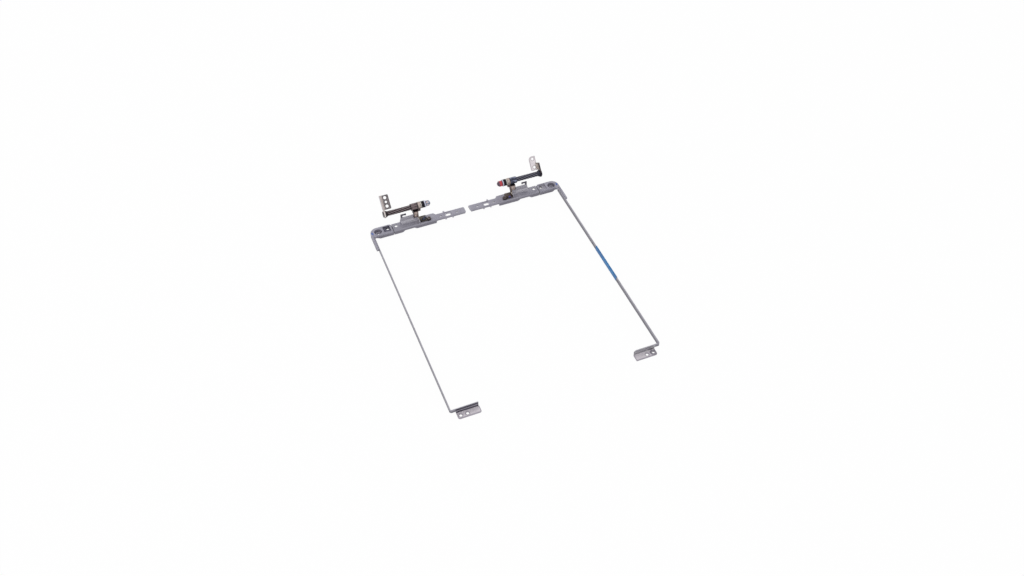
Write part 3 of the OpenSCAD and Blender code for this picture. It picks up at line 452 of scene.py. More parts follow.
# The narrow strip beside the neck is rubbed bright
RUBBED = Metal(
    "Rubbed nickel-plated steel", colour="#B3ACA4", cloud="#A39C95", crevice_shade="#6B6560", edge="#C8C2BB",
    roughness=0.4, crevice_shade_share=0.2,
)
# Left base plate: lavender-grey outer wall
BASE_WALL_LEFT = Metal(
    "Nickel-plated sheet steel", colour="#AEABB8", cloud="#BCB8C2", crevice_shade="#6A666E", edge="#8D8994",
    roughness=0.4, edge_band_mm=0.4,
)
# Beige where the left plate bends: a painted highlight of the light from above
BASE_BEND_LEFT = Metal(
    "Nickel-plated sheet steel, bent", colour="#ADA3A1", cloud="#B7AEAB", crevice_shade="#6E6462", edge="#C4BBB6",
    roughness=0.38,
)
# The left flange is painted darker, painted shade, with dark sheared rims
BASE_FLANGE_LEFT = Metal(
    "Nickel-plated sheet steel, left flange in painted shade", colour="#7A7477", cloud="#847D80", crevice_shade="#4B4547", edge="#656063",
    roughness=0.45, grain_deep_mm=0.002, outlined=True,
)
# Its staked eye is rubbed bright inside a dark rim
BASE_EYE_LEFT = Metal(
    "Nickel-plated steel, rubbed", colour="#CFC7C4", cloud="#DCD6D2", crevice_shade="#4A4244", edge="#3C3537",
    roughness=0.34, crevice_shade_mm=0.8, crevice_shade_share=0.4, edge_band_mm=0.25,
)
# The right flange is painted bright, painted light, with a grey rim
BASE_FLANGE_RIGHT = Metal(
    "Nickel-plated sheet steel, right flange in painted light", colour="#E4DDE0", cloud="#DCD5D9", crevice_shade="#B8B0B4", edge="#BBB4B9",
    roughness=0.34, crevice_shade_share=0.2, outlined=True,
)
# The right wall is painted brown-grey inside, painted shade, and dark on its rim
BASE_WALL_RIGHT = Metal(
    "Nickel-plated sheet steel, right wall in painted shade", colour="#C2B8B1", cloud="#AFA49D", crevice_shade="#867C76", edge="#625854",
    metallic=0.35, roughness=0.45, cloud_mm=2.5, crevice_shade_share=0.2, outlined=True,
)
# The right plate's rim and eye are painted nearly black, painted shade
BASE_EYE_RIGHT = Metal(
    "Nickel-plated steel, rim in painted deep shade", colour="#38333A", cloud="#4A4246", crevice_shade="#1B191D", edge="#6B646C",
    roughness=0.4,
)
# Oiled black oxide on the left shaft: brownish black, with a painted highlight in pinkish grey along the
# ridges
OXIDE_WARM = Metal(
    "Oiled black-oxide steel", colour="#332D30", cloud="#3F383B", crevice_shade="#1C191B", edge="#6A5E62",
    streak="#9A8C90", metallic=0.9, roughness=0.36, cloud_mm=3.0, grain_mm=0.8,
)
# The right shaft's oxide is bluer
OXIDE_COOL = Metal(
    "Blued steel", colour="#2D2E38", cloud="#383944", crevice_shade="#16171C", edge="#5F6170", streak="#85828E",
    metallic=0.9, roughness=0.34, cloud_mm=3.0, grain_mm=0.8,
)
# The collars carry pale streaks along the shaft: painted reflections
COLLAR_WARM = Metal(
    "Black-oxide steel, painted reflections", colour="#322C2F", cloud="#7C6E70", crevice_shade="#1C191B", edge="#2A2527",
    metallic=0.9, roughness=0.34, cloud_mm=1.4, brush=(0.25, 1.0, 1.0), outlined=True,
)
# The right collar's streaks are blue-grey
COLLAR_COOL = Metal(
    "Blued steel, painted reflections", colour="#353744", cloud="#888DA5", crevice_shade="#16171C", edge="#282A36",
    metallic=0.9, roughness=0.34, cloud_mm=1.4, brush=(0.25, 1.0, 1.0), outlined=True,
)
# Black oxide on springs and screws: nearly black with thin bluish glints
BLACK_OXIDE = Metal(
    "Black-oxide spring steel", colour="#232126", cloud="#34323B", crevice_shade="#0B0A0C", edge="#5C5965",
    metallic=0.85, roughness=0.3, cloud_mm=1.0,
)
# Seat screws under spilt thread lock, their crowns rubbed to a pinkish beige
SCREW = Metal(
    "Rubbed black-oxide steel", colour="#8C7F7C", cloud="#4A4242", crevice_shade="#151314", edge="#2A2527",
    metallic=0.9, roughness=0.36, cloud_mm=1.4, near=True, edge_band_mm=0.5, edge_band_share=0.9,
)
# Turned and zinc-plated: silver-white with pinkish blotches that are a painted reflection, greyer on its rims
BRIGHT = Metal(
    "Bright turned steel", colour="#B9BDCA", cloud="#B9A49D", crevice_shade="#5D5F6C", edge="#5E6A80",
    roughness=0.3, cloud_mm=1.6, outlined=True,
)
# The washer under the nut is the brightest, faintly lilac
WHITE_ZINC = Metal(
    "White zinc-plated steel", colour="#DCDAE4", cloud="#C9C8D4", crevice_shade="#8A8894", edge="#8D93A6",
    roughness=0.28, cloud_mm=1.6, outlined=True,
)
# The friction ring is oiled: silver with a green-grey cast
OILED = Metal(
    "Oiled steel", colour="#BCB9B1", cloud="#98948E", crevice_shade="#4D4A48", edge="#D6D3CE", roughness=0.3,
    cloud_mm=1.2,
)
# The right thread end is stained by its lock paint
STAINED_END = Metal(
    "Stained bright steel", colour="#46333F", cloud="#5F4A58", crevice_shade="#2B252B", edge="#75636F",
    roughness=0.35, cloud_mm=1.4, outlined=True,
)
# Riveted steel, plated with the arm
RIVET = Metal(
    "Plated rivet steel", colour="#8B8993", cloud="#9A98A2", crevice_shade="#4A474E", edge="#B5B3BC", roughness=0.4,
)
# Lock paint, brushed on: uneven, slightly glossy
RED_PAINT = Coating("Red lock paint", colour="#B32D39", streak="#CE4855", roughness=0.45)
BLUE_PAINT = Coating("Blue marking paint", colour="#4E66A8", streak="#5F75B2", roughness=0.6)
# Thread lock that was squeezed out beside the screws
THREAD_LOCK = Coating("Blue thread-lock lacquer", colour="#1C2338", streak="#263052", roughness=0.45)
FRESH_LOCK = Coating("Violet thread-lock lacquer", colour="#2B2A6E", streak="#3B3A86", roughness=0.45)
# Protective polyethylene film: deep blue on its sides and painted paler on the fold, a painted highlight on
# its upward faces, with soft wrinkles
FILM = Coating("Blue polyethylene film", colour="#2069A6", streak="#2D7AB5", roughness=0.5, streak_mm=14.0)
FILM_FOLD = Coating(
    "Blue polyethylene film, folded", colour="#7AA7D0", streak="#8DB4D8", roughness=0.4, streak_mm=14.0,
    clear=0.05,
)


# Shaping


def remeshed(shape: Solid, grid: float, passes: int) -> Solid:
    """Melts overlapping shapes into one closed skin and softens its edges.

    Args:
        shape: One or more closed shapes in millimetres. It is freed.
        grid: Spacing of the new skin's points.
        passes: How many times the skin is smoothed.

    Returns:
        The new skin, made of small squares.
    """
    mesh = bpy.data.meshes.new("blank")
    shape.to_mesh(mesh)
    shape.free()
    holder = bpy.data.objects.new("blank", mesh)
    bpy.context.scene.collection.objects.link(holder)
    step = holder.modifiers.new("skin", "REMESH")
    step.mode = "VOXEL"
    step.voxel_size = grid
    soft = holder.modifiers.new("soft", "SMOOTH")
    soft.factor = 0.5
    soft.iterations = passes
    graph = bpy.context.evaluated_depsgraph_get()
    skin = bpy.data.meshes.new_from_object(holder.evaluated_get(graph))
    made = bmesh.new()
    made.from_mesh(skin)
    bpy.data.objects.remove(holder)
    bpy.data.meshes.remove(mesh)
    bpy.data.meshes.remove(skin)
    return made


def thinned(shape: Solid, angle: float = 1.2, keep: frozenset[int] = frozenset()) -> Solid:
    """Joins the small squares of flat stretches into larger faces.

    Args:
        shape: The skin. It is changed.
        angle: Angle in degrees below which two faces count as flat.
        keep: Finishes whose faces stay small.

    Returns:
        The same skin.
    """
    free_verts = [v for v in shape.verts if all(f.material_index not in keep for f in v.link_faces)]
    free_edges = [e for e in shape.edges if all(f.material_index not in keep for f in e.link_faces)]
    bmesh.ops.dissolve_limit(
        shape, angle_limit=math.radians(angle), use_dissolve_boundaries=False,
        verts=free_verts, edges=free_edges, delimit={"MATERIAL"},
    )
    return shape


def zoned(shape: Solid, choose: Callable[[Vector, Vector], int], keep: frozenset[int] = frozenset()) -> Solid:
    """Gives every small face of a skin its finish, then joins the flat stretches.

    Args:
        shape: The skin, in millimetres.
        choose: Gives a finish's number from a face's centre and normal.
        keep: Finishes whose faces stay small, because their rims are marked point by point.

    Returns:
        The same skin with fewer faces.
    """
    shape.normal_update()
    for face in shape.faces:
        face.material_index = choose(face.calc_center_median(), face.normal)
    return thinned(shape, keep=keep)


def outlined(
    shape: Solid, wide: float, sharp: float = 0.35, skip: Callable[[Vector], bool] = lambda at: False
) -> Solid:
    """Marks how close each point of a skin lies to a sharp edge, from one on the edge to zero.

    Args:
        shape: A skin of small faces, in millimetres.
        wide: How far from an edge the mark reaches.
        sharp: Angle in radians between two faces from which an outer edge counts.
        skip: True at places whose edges don't count.

    Returns:
        The same skin with the attribute "rim".
    """
    shape.verts.ensure_lookup_table()
    corners = {
        vert.index
        for edge in shape.edges
        if edge.is_manifold and edge.calc_face_angle_signed(0.0) > sharp
        for vert in edge.verts
        if not skip(vert.co)
    }
    near = KDTree(len(corners))
    for index in corners:
        near.insert(shape.verts[index].co, index)
    near.balance()
    rim = shape.verts.layers.float.new("rim")
    steep = 1.6
    for vert in shape.verts:
        away = near.find(vert.co)[2] if corners else wide
        vert[rim] = min(1.0, max(0.0, steep * (1 - away / wide)))
    return shape


def walled(made: Solid, rings: list[list[bmesh.types.BMVert]], capped: bool = True) -> Solid:
    """Joins rings of equally many points into a closed surface.

    Args:
        made: The shape that owns the points.
        rings: The rings in their order.
        capped: Whether a face closes the first and the last ring.

    Returns:
        The same shape with its faces looking outward.
    """
    count = len(rings[0])
    for one, two in zip(rings, rings[1:]):
        for k in range(count):
            made.faces.new((one[k], one[(k + 1) % count], two[(k + 1) % count], two[k]))
    for cap in (rings[0], rings[-1]) if capped else ():
        made.faces.new(cap)
    bmesh.ops.recalc_face_normals(made, faces=made.faces)
    return made


def joined(*shapes: Solid) -> Solid:
    """Puts several shapes into the first one and frees the rest.

    Args:
        *shapes: The shapes, the one that is kept first.

    Returns:
        The first shape with the others in it.
    """
    first = shapes[0]
    for other in shapes[1:]:
        mesh = bpy.data.meshes.new("part")
        other.to_mesh(mesh)
        other.free()
        first.from_mesh(mesh)
        bpy.data.meshes.remove(mesh)
    return first


def swept(
    path: list[Vector], normals: list[Vector], half_wide: float, half_thick: float, corner: float
) -> Solid:
    """A strip with a rounded rectangular section along a path.

    Args:
        path: Centre points of the strip.
        normals: The direction of its thickness at each point.
        half_wide: Half its width, across the path.
        half_thick: Half its thickness.
        corner: Radius of its long edges.

    Returns:
        The closed strip.
    """
    made = bmesh.new()
    turns = [math.radians(a) for a in (0, 45, 90)]
    section = []
    for sx, sy, start in ((1, 1, 0), (-1, 1, 90), (-1, -1, 180), (1, -1, 270)):
        for turn in turns:
            a = turn + math.radians(start)
            across, over = sx * (half_wide - corner), sy * (half_thick - corner)
            section.append((across + corner * math.cos(a), over + corner * math.sin(a)))
    rings = []
    for i, point in enumerate(path):
        ahead = (path[min(i + 1, len(path) - 1)] - path[max(i - 1, 0)]).normalized()
        thick = (normals[i] - ahead * normals[i].dot(ahead)).normalized()
        wide = ahead.cross(thick)
        rings.append([made.verts.new(point + wide * a + thick * b) for a, b in section])
    return walled(made, rings)


def finer(points: list[tuple[float, float]], step: float) -> list[tuple[float, float]]:
    """Adds points between the corners of an open outline.

    Args:
        points: The outline's corners.
        step: About how far apart the new points lie.

    Returns:
        The outline with its corners kept.
    """
    made = []
    for (x0, y0), (x1, y1) in zip(points, points[1:]):
        count = max(1, int(math.hypot(x1 - x0, y1 - y0) / step))
        made += [(x0 + (x1 - x0) * i / count, y0 + (y1 - y0) * i / count) for i in range(count)]
    return made + [points[-1]]


def eased(profile: list[tuple[float, float]], radius: float, steps: int = 3) -> list[tuple[float, float]]:
    """Rounds the corners of an open profile.

    Args:
        profile: Points as (place along the axis, radius).
        radius: Size of the rounding, limited to two fifths of each stretch.
        steps: Number of points on each rounded corner.

    Returns:
        The profile with small arcs in place of its corners.
    """
    points = [Vector(p) for p in profile]
    made = [points[0]]
    for before, here, after in zip(points, points[1:], points[2:]):
        back, ahead = before - here, after - here
        reach = min(radius, back.length * 0.4, ahead.length * 0.4)
        start, end = here + back.normalized() * reach, here + ahead.normalized() * reach
        for i in range(steps + 1):
            t = i / steps
            made.append(start * (1 - t) ** 2 + here * 2 * t * (1 - t) + end * t * t)
    made.append(points[-1])
    return [(p.x, p.y) for p in made]


def turned(profile: list[tuple[float, float]], shape: Radius | None = None, steps: int = 64) -> Solid:
    """A turned piece about the X axis, closed from its first to its last point.

    Args:
        profile: Points as (place along the axis, radius). A ring's profile comes back to its start.
        shape: Limits the radius at a place and an angle, for flats, hexagons and threads.
        steps: Number of points round the axis.

    Returns:
        The turned piece.
    """
    made = bmesh.new()
    rings = []
    for along, radius in profile:
        ring = []
        for k in range(steps):
            angle = 2 * math.pi * k / steps
            r = min(radius, shape(along, angle)) if shape else radius
            ring.append(made.verts.new((along, r * math.cos(angle), r * math.sin(angle))))
        rings.append(ring)
    closed = profile[0] == profile[-1]
    if closed:
        for vert in rings[-1]:
            made.verts.remove(vert)
        rings[-1] = rings[0]
    return walled(made, rings, not closed)


def fillet(
    shape: Solid,
    along: Axis,
    span: tuple[float, float],
    centre: tuple[float, float],
    toward: tuple[int, int],
    radius: float,
    slack: float = 0.14,
) -> None:
    """Rounds one straight edge or inner corner of a fine skin by moving its points onto an arc.

    Args:
        shape: The skin, in millimetres.
        along: The direction of the edge.
        span: Where the edge starts and ends along it.
        centre: The arc's centre in the other two directions.
        toward: The sense from the centre to the corner in each of those two.
        radius: Radius of the arc.
        slack: How far a point may lie off the corner's two faces and still count.
    """
    a, b = [i for i in range(3) if i != along.value]
    for vert in shape.verts:
        if not span[0] <= vert.co[along.value] <= span[1]:
            continue
        da = (vert.co[a] - centre[0]) * toward[0]
        db = (vert.co[b] - centre[1]) * toward[1]
        if da <= 0 or db <= 0 or max(da, db) > radius + slack:
            continue
        away = math.hypot(da, db)
        if away > radius and max(da, db) > radius - slack:
            vert.co[a] = centre[0] + toward[0] * da * radius / away
            vert.co[b] = centre[1] + toward[1] * db * radius / away


class Maker:
    """What every sub-assembly shares: the bench, the names and the way a piece is handed over."""

    weld: float = 0.002
    flat_weight: int = 80

    def __init__(self, bench: Bench, side: Side) -> None:
        """Keeps the bench and the half that is made."""
        self.bench = bench
        self.side = side

    def cad(self, node: str) -> Solid:
        """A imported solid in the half's own millimetres.

        Args:
            node: The node's name without its side.

        Returns:
            A copy of its mesh.
        """
        name = f"{self.side.value}_{node}"
        made = bmesh.new()
        made.from_mesh(bpy.data.objects[name].data)
        bmesh.ops.remove_doubles(made, verts=made.verts, dist=self.weld * MM)
        made.transform(self.bench.matrix(self.side).inverted())
        if self.side is Side.RIGHT:
            bmesh.ops.reverse_faces(made, faces=made.faces)
        for face in made.faces:
            face.material_index = 0
        return made

    def hand_over(
        self,
        shape: Solid,
        name: str,
        body: str,
        finishes: list[Metal | Coating],
        slot: str | None = None,
        replaces: str | None = None,
    ) -> bpy.types.Object:
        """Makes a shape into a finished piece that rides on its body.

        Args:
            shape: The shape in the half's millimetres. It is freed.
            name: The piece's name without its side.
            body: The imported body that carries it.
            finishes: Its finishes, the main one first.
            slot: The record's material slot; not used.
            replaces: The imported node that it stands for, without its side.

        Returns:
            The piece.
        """
        full = f"{self.side.value}_{name}"
        for face in shape.faces:
            face.smooth = True
        shape.transform(self.bench.matrix(self.side))
        if self.side is Side.RIGHT:
            bmesh.ops.reverse_faces(shape, faces=shape.faces)
        mesh = bpy.data.meshes.new(full)
        shape.to_mesh(mesh)
        shape.free()
        for finish in finishes:
            mesh.materials.append(finish.material())
        piece = bpy.data.objects.new(full, mesh)
        bpy.context.scene.collection.objects.link(piece)
        weighted = piece.modifiers.new("flat stretches", "WEIGHTED_NORMAL")
        weighted.weight = self.flat_weight
        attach(piece, body)
        if replaces:
            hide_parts(f"{self.side.value}_{replaces}")
        LOG.info("%s rides on %s: %d faces", full, body, len(mesh.polygons))
        return piece


# Sub-assemblies


@dataclass
class SideArm:
    """The upright strip beside the panel, with its end tab. Sizes in millimetres."""

    grid: float = 0.25
    passes: int = 1
    arm_len: float = 222.0
    arm_t: float = 0.9
    top: float = 6.2
    tab_start: float = 4.2
    tab_end: float = 25.0
    wall_bend_r: float = 0.7
    bead_low: float = 3.0
    bead_high: float = 3.9
    rim_wide: float = 1.0
    ring_at: tuple[float, float] = (7.1, -226.5)
    ring_r: float = 3.1
    # Where one finish ends and the next begins
    skin: float = 0.1
    strip_low: float = 1.4
    wall_band: float = 0.8
    start_band: float = 0.3
    top_band: float = 0.4
    upward: float = 0.7

    def build(self, maker: Maker) -> None:
        """Makes the arm with its tab.

        Args:
            maker: The bench and the half that it is made for.
        """
        shape = remeshed(maker.cad("side_arm"), self.grid, self.passes)
        wall_front = -self.arm_len - self.arm_t
        fillet(
            shape, Axis.U, (self.tab_start, self.tab_end),
            (wall_front - self.wall_bend_r, self.arm_t + self.wall_bend_r), (1, -1), self.wall_bend_r,
        )
        ringed = maker.side is Side.RIGHT

        def choose(at: Vector, normal: Vector) -> int:
            """Strip, flange in painted light, wall in painted shade, bead with a painted highlight, or ring.

            Args:
                at: Centre of a small face.
                normal: The way it looks.

            Returns:
                The number of its finish.
            """
            if at.y > wall_front + self.skin and (at.x < self.tab_start or at.z > self.strip_low):
                return 0
            if at.z > self.arm_t + self.skin and at.y > wall_front - self.wall_band:
                top_edge = normal.z > self.upward and at.z > self.top - self.top_band
                on_bead = self.bead_low < at.z < self.bead_high
                before = at.x < self.tab_start - self.start_band
                return 0 if top_edge or before else 2 + int(on_bead and not ringed)
            near = math.hypot(at.x - self.ring_at[0], at.y - self.ring_at[1])
            return 4 if ringed and near < self.ring_r else 1

        maker.hand_over(
            zoned(outlined(shape, self.rim_wide), choose, frozenset((1, 4))),
            "arm_strip_with_tab", LID,
            [PLATED_STRIP, PLATED_TAB, TAB_WALL_RIGHT if ringed else TAB_WALL, TAB_BEAD, TAB_RING],
            slot="plated_steel", replaces="side_arm",
        )


@dataclass
class Corner:
    """The cast corner with its pockets, and the rivets that hold arm and rail."""

    grid: float = 0.22
    passes: int = 3
    rivet_grid: float = 0.1
    top: float = 6.5
    front_r: float = 0.9
    bend_to: float = 2.6
    slack: float = 0.25
    length: float = 19.6
    pocket_at: tuple[float, float] = (5.0, 4.9)
    pocket_r: float = 3.8
    square_u: tuple[float, float] = (10.6, 17.6)
    square_v: tuple[float, float] = (2.0, 9.8)
    square_floor: float = 4.6
    # Where one finish ends and the next begins
    top_band: float = 0.25
    pocket_band: float = 0.15

    def build(self, maker: Maker) -> None:
        """Makes the casting and its rivets.

        Args:
            maker: The bench and the half that it is made for.
        """
        shape = remeshed(maker.cad("corner_bracket"), self.grid, self.passes)
        fillet(
            shape, Axis.U, (self.bend_to, self.length),
            (self.front_r, self.top - self.front_r), (-1, 1), self.front_r, self.slack,
        )

        def choose(at: Vector, normal: Vector) -> int:
            """Skin, round pocket, square pocket in painted shade on the left and painted light on the right,
            a hole wall in painted shade, or the seam's dark joint.

            Args:
                at: Centre of a small face.
                normal: The way it looks; not used.

            Returns:
                The number of its finish.
            """
            if at.x > self.length - NEAR:
                return 3
            if at.z > self.top - self.top_band:
                return 0
            from_pocket = math.hypot(at.x - self.pocket_at[0], at.y - self.pocket_at[1])
            if from_pocket < self.pocket_r + self.pocket_band:
                return 1
            within = self.square_u[0] - AROUND < at.x < self.square_u[1] + AROUND
            if within and self.square_v[0] - AROUND < at.y < self.square_v[1] + AROUND:
                return 2 if at.z > self.square_floor - AROUND else 3
            return 0

        pocket = CAST_SHADED if maker.side is Side.LEFT else CAST_PALE
        maker.hand_over(
            zoned(shape, choose), "cast_corner", LID, [CAST_ZINC, CAST_POCKET, pocket, HOLE_SHADE_AND_SEAM],
            slot="cast_zinc", replaces="corner_bracket",
        )
        for node, finish in (("arm_rivets", RIVET), ("rail_rivets", pocket)):
            rivets = remeshed(maker.cad(node), self.rivet_grid, 2)
            maker.hand_over(thinned(rivets), f"peened_{node}", LID, [finish], "rivet_steel", node)


@dataclass
class Rail:
    """The stamped rail with its rounded front edge, bent-up back wall and hook."""

    grid: float = 0.24
    passes: int = 2
    top: float = 6.5
    thick: float = 0.9
    depth: float = 10.4
    start: float = 19.95
    end: float = 94.2
    front_r: float = 1.1
    wall_start: float = 29.6
    wall_end: float = 46.4
    bend_r: float = 1.8
    # Where one finish ends and the next begins
    # Upward faces this far before the back wall, and shade_past beyond its end, take the wall's pale painted
    # light
    shade: float = 4.2
    shade_past: float = 1.0
    hook_from: float = 12.2
    wall_low: float = 0.4
    front_band: float = 1.3
    sheet_low: float = 0.05
    sheet_high: float = 0.02
    upward: float = 0.6
    flat: float = 0.75

    def build(self, maker: Maker) -> None:
        """Makes the rail's skin and rounds its bends.

        Args:
            maker: The bench and the half that it is made for.
        """
        shape = remeshed(maker.cad("rail"), self.grid, self.passes)
        fillet(
            shape, Axis.U, (self.start, self.end),
            (self.front_r, self.top - self.front_r), (-1, 1), self.front_r,
        )
        wall_front = self.depth - self.thick
        fillet(
            shape, Axis.U, (self.wall_start, self.wall_end),
            (wall_front - self.bend_r, self.top + self.bend_r), (1, -1), self.bend_r,
        )

        def choose(at: Vector, normal: Vector) -> int:
            """Sheet, upright wall and the upward faces before it in painted light, the seam's dark joint and
            the holes' walls in painted shade, or the hook.

            Args:
                at: Centre of a small face.
                normal: The way it looks.

            Returns:
                The number of its finish.
            """
            if at.z > self.hook_from:
                return 3
            beside_wall = self.wall_start < at.x < self.wall_end + self.shade_past
            before_wall = at.y > self.depth - self.shade and beside_wall
            if at.z > self.top + self.wall_low or (before_wall and normal.z > self.upward):
                return 1
            if at.x < self.start + NEAR:
                return 2
            in_sheet = self.top - self.thick - self.sheet_low < at.z < self.top - self.sheet_high
            return 2 if at.y > self.front_band and in_sheet and abs(normal.z) < self.flat else 0

        maker.hand_over(
            zoned(shape, choose), "stamped_rail", LID,
            [PLATED_SHEET, PLATED_WALL, HOLE_SHADE_AND_SEAM, PLATED_HOOK], slot="plated_steel", replaces="rail",
        )


@dataclass
class Seat:
    """The hinge seat with its neck, hood, ear, foot and two screws."""

    grid: float = 0.2
    passes: int = 2
    screw_grid: float = 0.12
    foot_top: float = 7.9
    side_from: float = 46.9
    neck_to: float = 48.5
    neck_front: float = 7.9
    hood_low: float = 12.1
    hood_top: float = 16.9
    ear_r: float = 3.6
    strip_wide: float = 0.6
    strip_thick: float = 0.3
    strip_lift: float = 0.12
    strip_r: float = 0.2
    strip_at: tuple[tuple[float, float], ...] = ((47.9, 8.4), (47.7, 7.8), (47.5, 7.2), (47.4, 6.7))
    neck_hole: tuple[float, float] = (45.4, 12.4)
    neck_hole_r: float = 1.6
    # Where one finish ends and the next begins
    stain_from: float = 47.7
    lobe_from: float = 55.2
    panel_low: float = 9.6
    panel_low_right: float = 11.2
    panel_front: float = 0.6
    panel_end: float = 1.7
    foot_band: float = 0.7
    foot_rim: float = 0.3
    foot_start: float = 0.8
    lobe_inner: float = 1.6
    lobe_front: float = 4.6
    band: float = 0.4
    ear_band: float = 0.15
    strip_band: float = 0.35
    strip_low: float = 0.08
    hood_front: float = 0.5
    upward: float = 0.5
    forward: float = -0.3
    rim_wide: float = 0.9

    def build(self, maker: Maker) -> None:
        """Makes the seat with its bright strip, and the screws.

        Args:
            maker: The bench and the half that it is made for.
        """
        path = [Vector((u, v, self.foot_top + self.strip_lift)) for u, v in self.strip_at]
        up = [Vector((0, 0, 1))] * len(path)
        strip = swept(path, up, self.strip_wide, self.strip_thick, self.strip_r)
        shape = remeshed(joined(maker.cad("hinge_seat"), strip), self.grid, self.passes)
        bench = maker.bench
        panel_low = self.panel_low if maker.side is Side.LEFT else self.panel_low_right

        def choose(at: Vector, normal: Vector) -> int:
            """Ear, foot, strip, painted shadow on the hood and beside the screw, side plate in painted shade,
            the neck's face, or the wall's foot in painted light.

            Args:
                at: Centre of a small face.
                normal: The way it looks.

            Returns:
                The number of its finish.
            """
            from_axis = math.hypot(at.y - bench.axis_v, at.z - bench.axis_w)
            if from_axis < self.ear_r + self.ear_band and at.x > self.neck_to - AROUND:
                return 0
            over_foot = at.x > self.side_from - self.foot_start and at.y < self.neck_front + self.band
            if over_foot and at.z < self.foot_top + self.foot_band:
                from_strip = min(math.hypot(at.x - p.x, at.y - p.y) for p in path)
                if from_strip < self.strip_wide + self.strip_band and at.z > self.foot_top + self.strip_low:
                    return 3
                if at.x < self.stain_from:
                    return 6
                by_screw = at.x < self.stain_from + self.lobe_inner and at.y < self.lobe_front
                return 4 if at.x > self.lobe_from or by_screw else 1
            if at.z < self.foot_top + self.foot_rim and at.x > self.side_from:
                return 1
            in_front = at.y < self.neck_front + self.panel_front and at.x < self.neck_to - self.panel_end
            if in_front and at.z < panel_low:
                return 4 if at.z > panel_low - self.band else 6
            behind = at.y > self.neck_front + self.hood_front and at.x < self.side_from
            if behind and at.z > self.hood_low - AROUND:
                return 4
            if at.z > self.hood_top - self.band and normal.z > self.upward and at.x < self.neck_to:
                return 4
            # Forward faces take the pale panel; the rest take the side plate's painted shade
            return 5 if normal.y < self.forward and at.x < self.neck_to - self.band else 2

        def in_hole(at: Vector) -> bool:
            """True in the neck's small hole, which has no dark rim."""
            return math.hypot(at.x - self.neck_hole[0], at.z - self.neck_hole[1]) < self.neck_hole_r

        stain = STAINED_OLIVE if maker.side is Side.LEFT else STAINED
        maker.hand_over(
            zoned(outlined(shape, self.rim_wide, skip=in_hole), choose, frozenset((5,))),
            "hinge_seat_bracket", LID,
            [NICKEL, stain, NICKEL_SIDE, RUBBED, PAINTED_SHADOW, NICKEL_PANEL, PLATED_WALL],
            slot="nickel_steel", replaces="hinge_seat",
        )
        screws = remeshed(maker.cad("seat_screws"), self.screw_grid, 2)
        maker.hand_over(thinned(screws), "pan_head_screws", LID, [SCREW], "black_steel", "seat_screws")


@dataclass
class BasePlate:
    """The bent plate that is screwed to the computer's base."""

    grid: float = 0.2
    passes: int = 2
    plate_to: float = 15.6
    bend_to: float = 17.0
    eye_r: float = 3.8
    short_wall: float = 10.9
    # Where one finish ends and the next begins
    eye_band: float = 0.6
    wall_band: float = 0.3
    outward: float = -0.7
    inward: float = 0.5
    rim_wide: float = 0.9

    def build(self, maker: Maker) -> None:
        """Makes the plate.

        Args:
            maker: The bench and the half that it is made for.
        """
        shape = remeshed(maker.cad("base_plate"), self.grid, self.passes)
        left = maker.side is Side.LEFT
        bench = maker.bench

        def choose(at: Vector, normal: Vector) -> int:
            """Flange, wall, bend or the eye's rim: copies of one plating in painted light and shade, picked
            by the way each face turns.

            Args:
                at: Centre of a small face.
                normal: The way it looks.

            Returns:
                The number of its finish.
            """
            if at.x > self.bend_to:
                return 0
            away = math.hypot(at.y - bench.axis_v, at.z - bench.axis_w)
            if away < self.eye_r + self.eye_band:
                return 3
            if not left and away > self.short_wall + self.wall_band:
                return 0
            # Faces turned outward and inward take different painted light and shade
            if normal.x < self.outward:
                return 1
            if left:
                return 2
            return 1 if normal.x > self.inward or at.x > self.plate_to else 3

        finishes = [BASE_FLANGE_LEFT, BASE_WALL_LEFT, BASE_BEND_LEFT, BASE_EYE_LEFT]
        if not left:
            finishes = [BASE_FLANGE_RIGHT, BASE_WALL_RIGHT, BASE_WALL_RIGHT, BASE_EYE_RIGHT]
        maker.hand_over(
            zoned(outlined(shape, self.rim_wide), choose, frozenset(range(4))), "base_plate_sheet",
            f"{maker.side.value}_base_arm", finishes,
            slot="base_left_steel" if left else "base_right_steel", replaces="base_plate",
        )


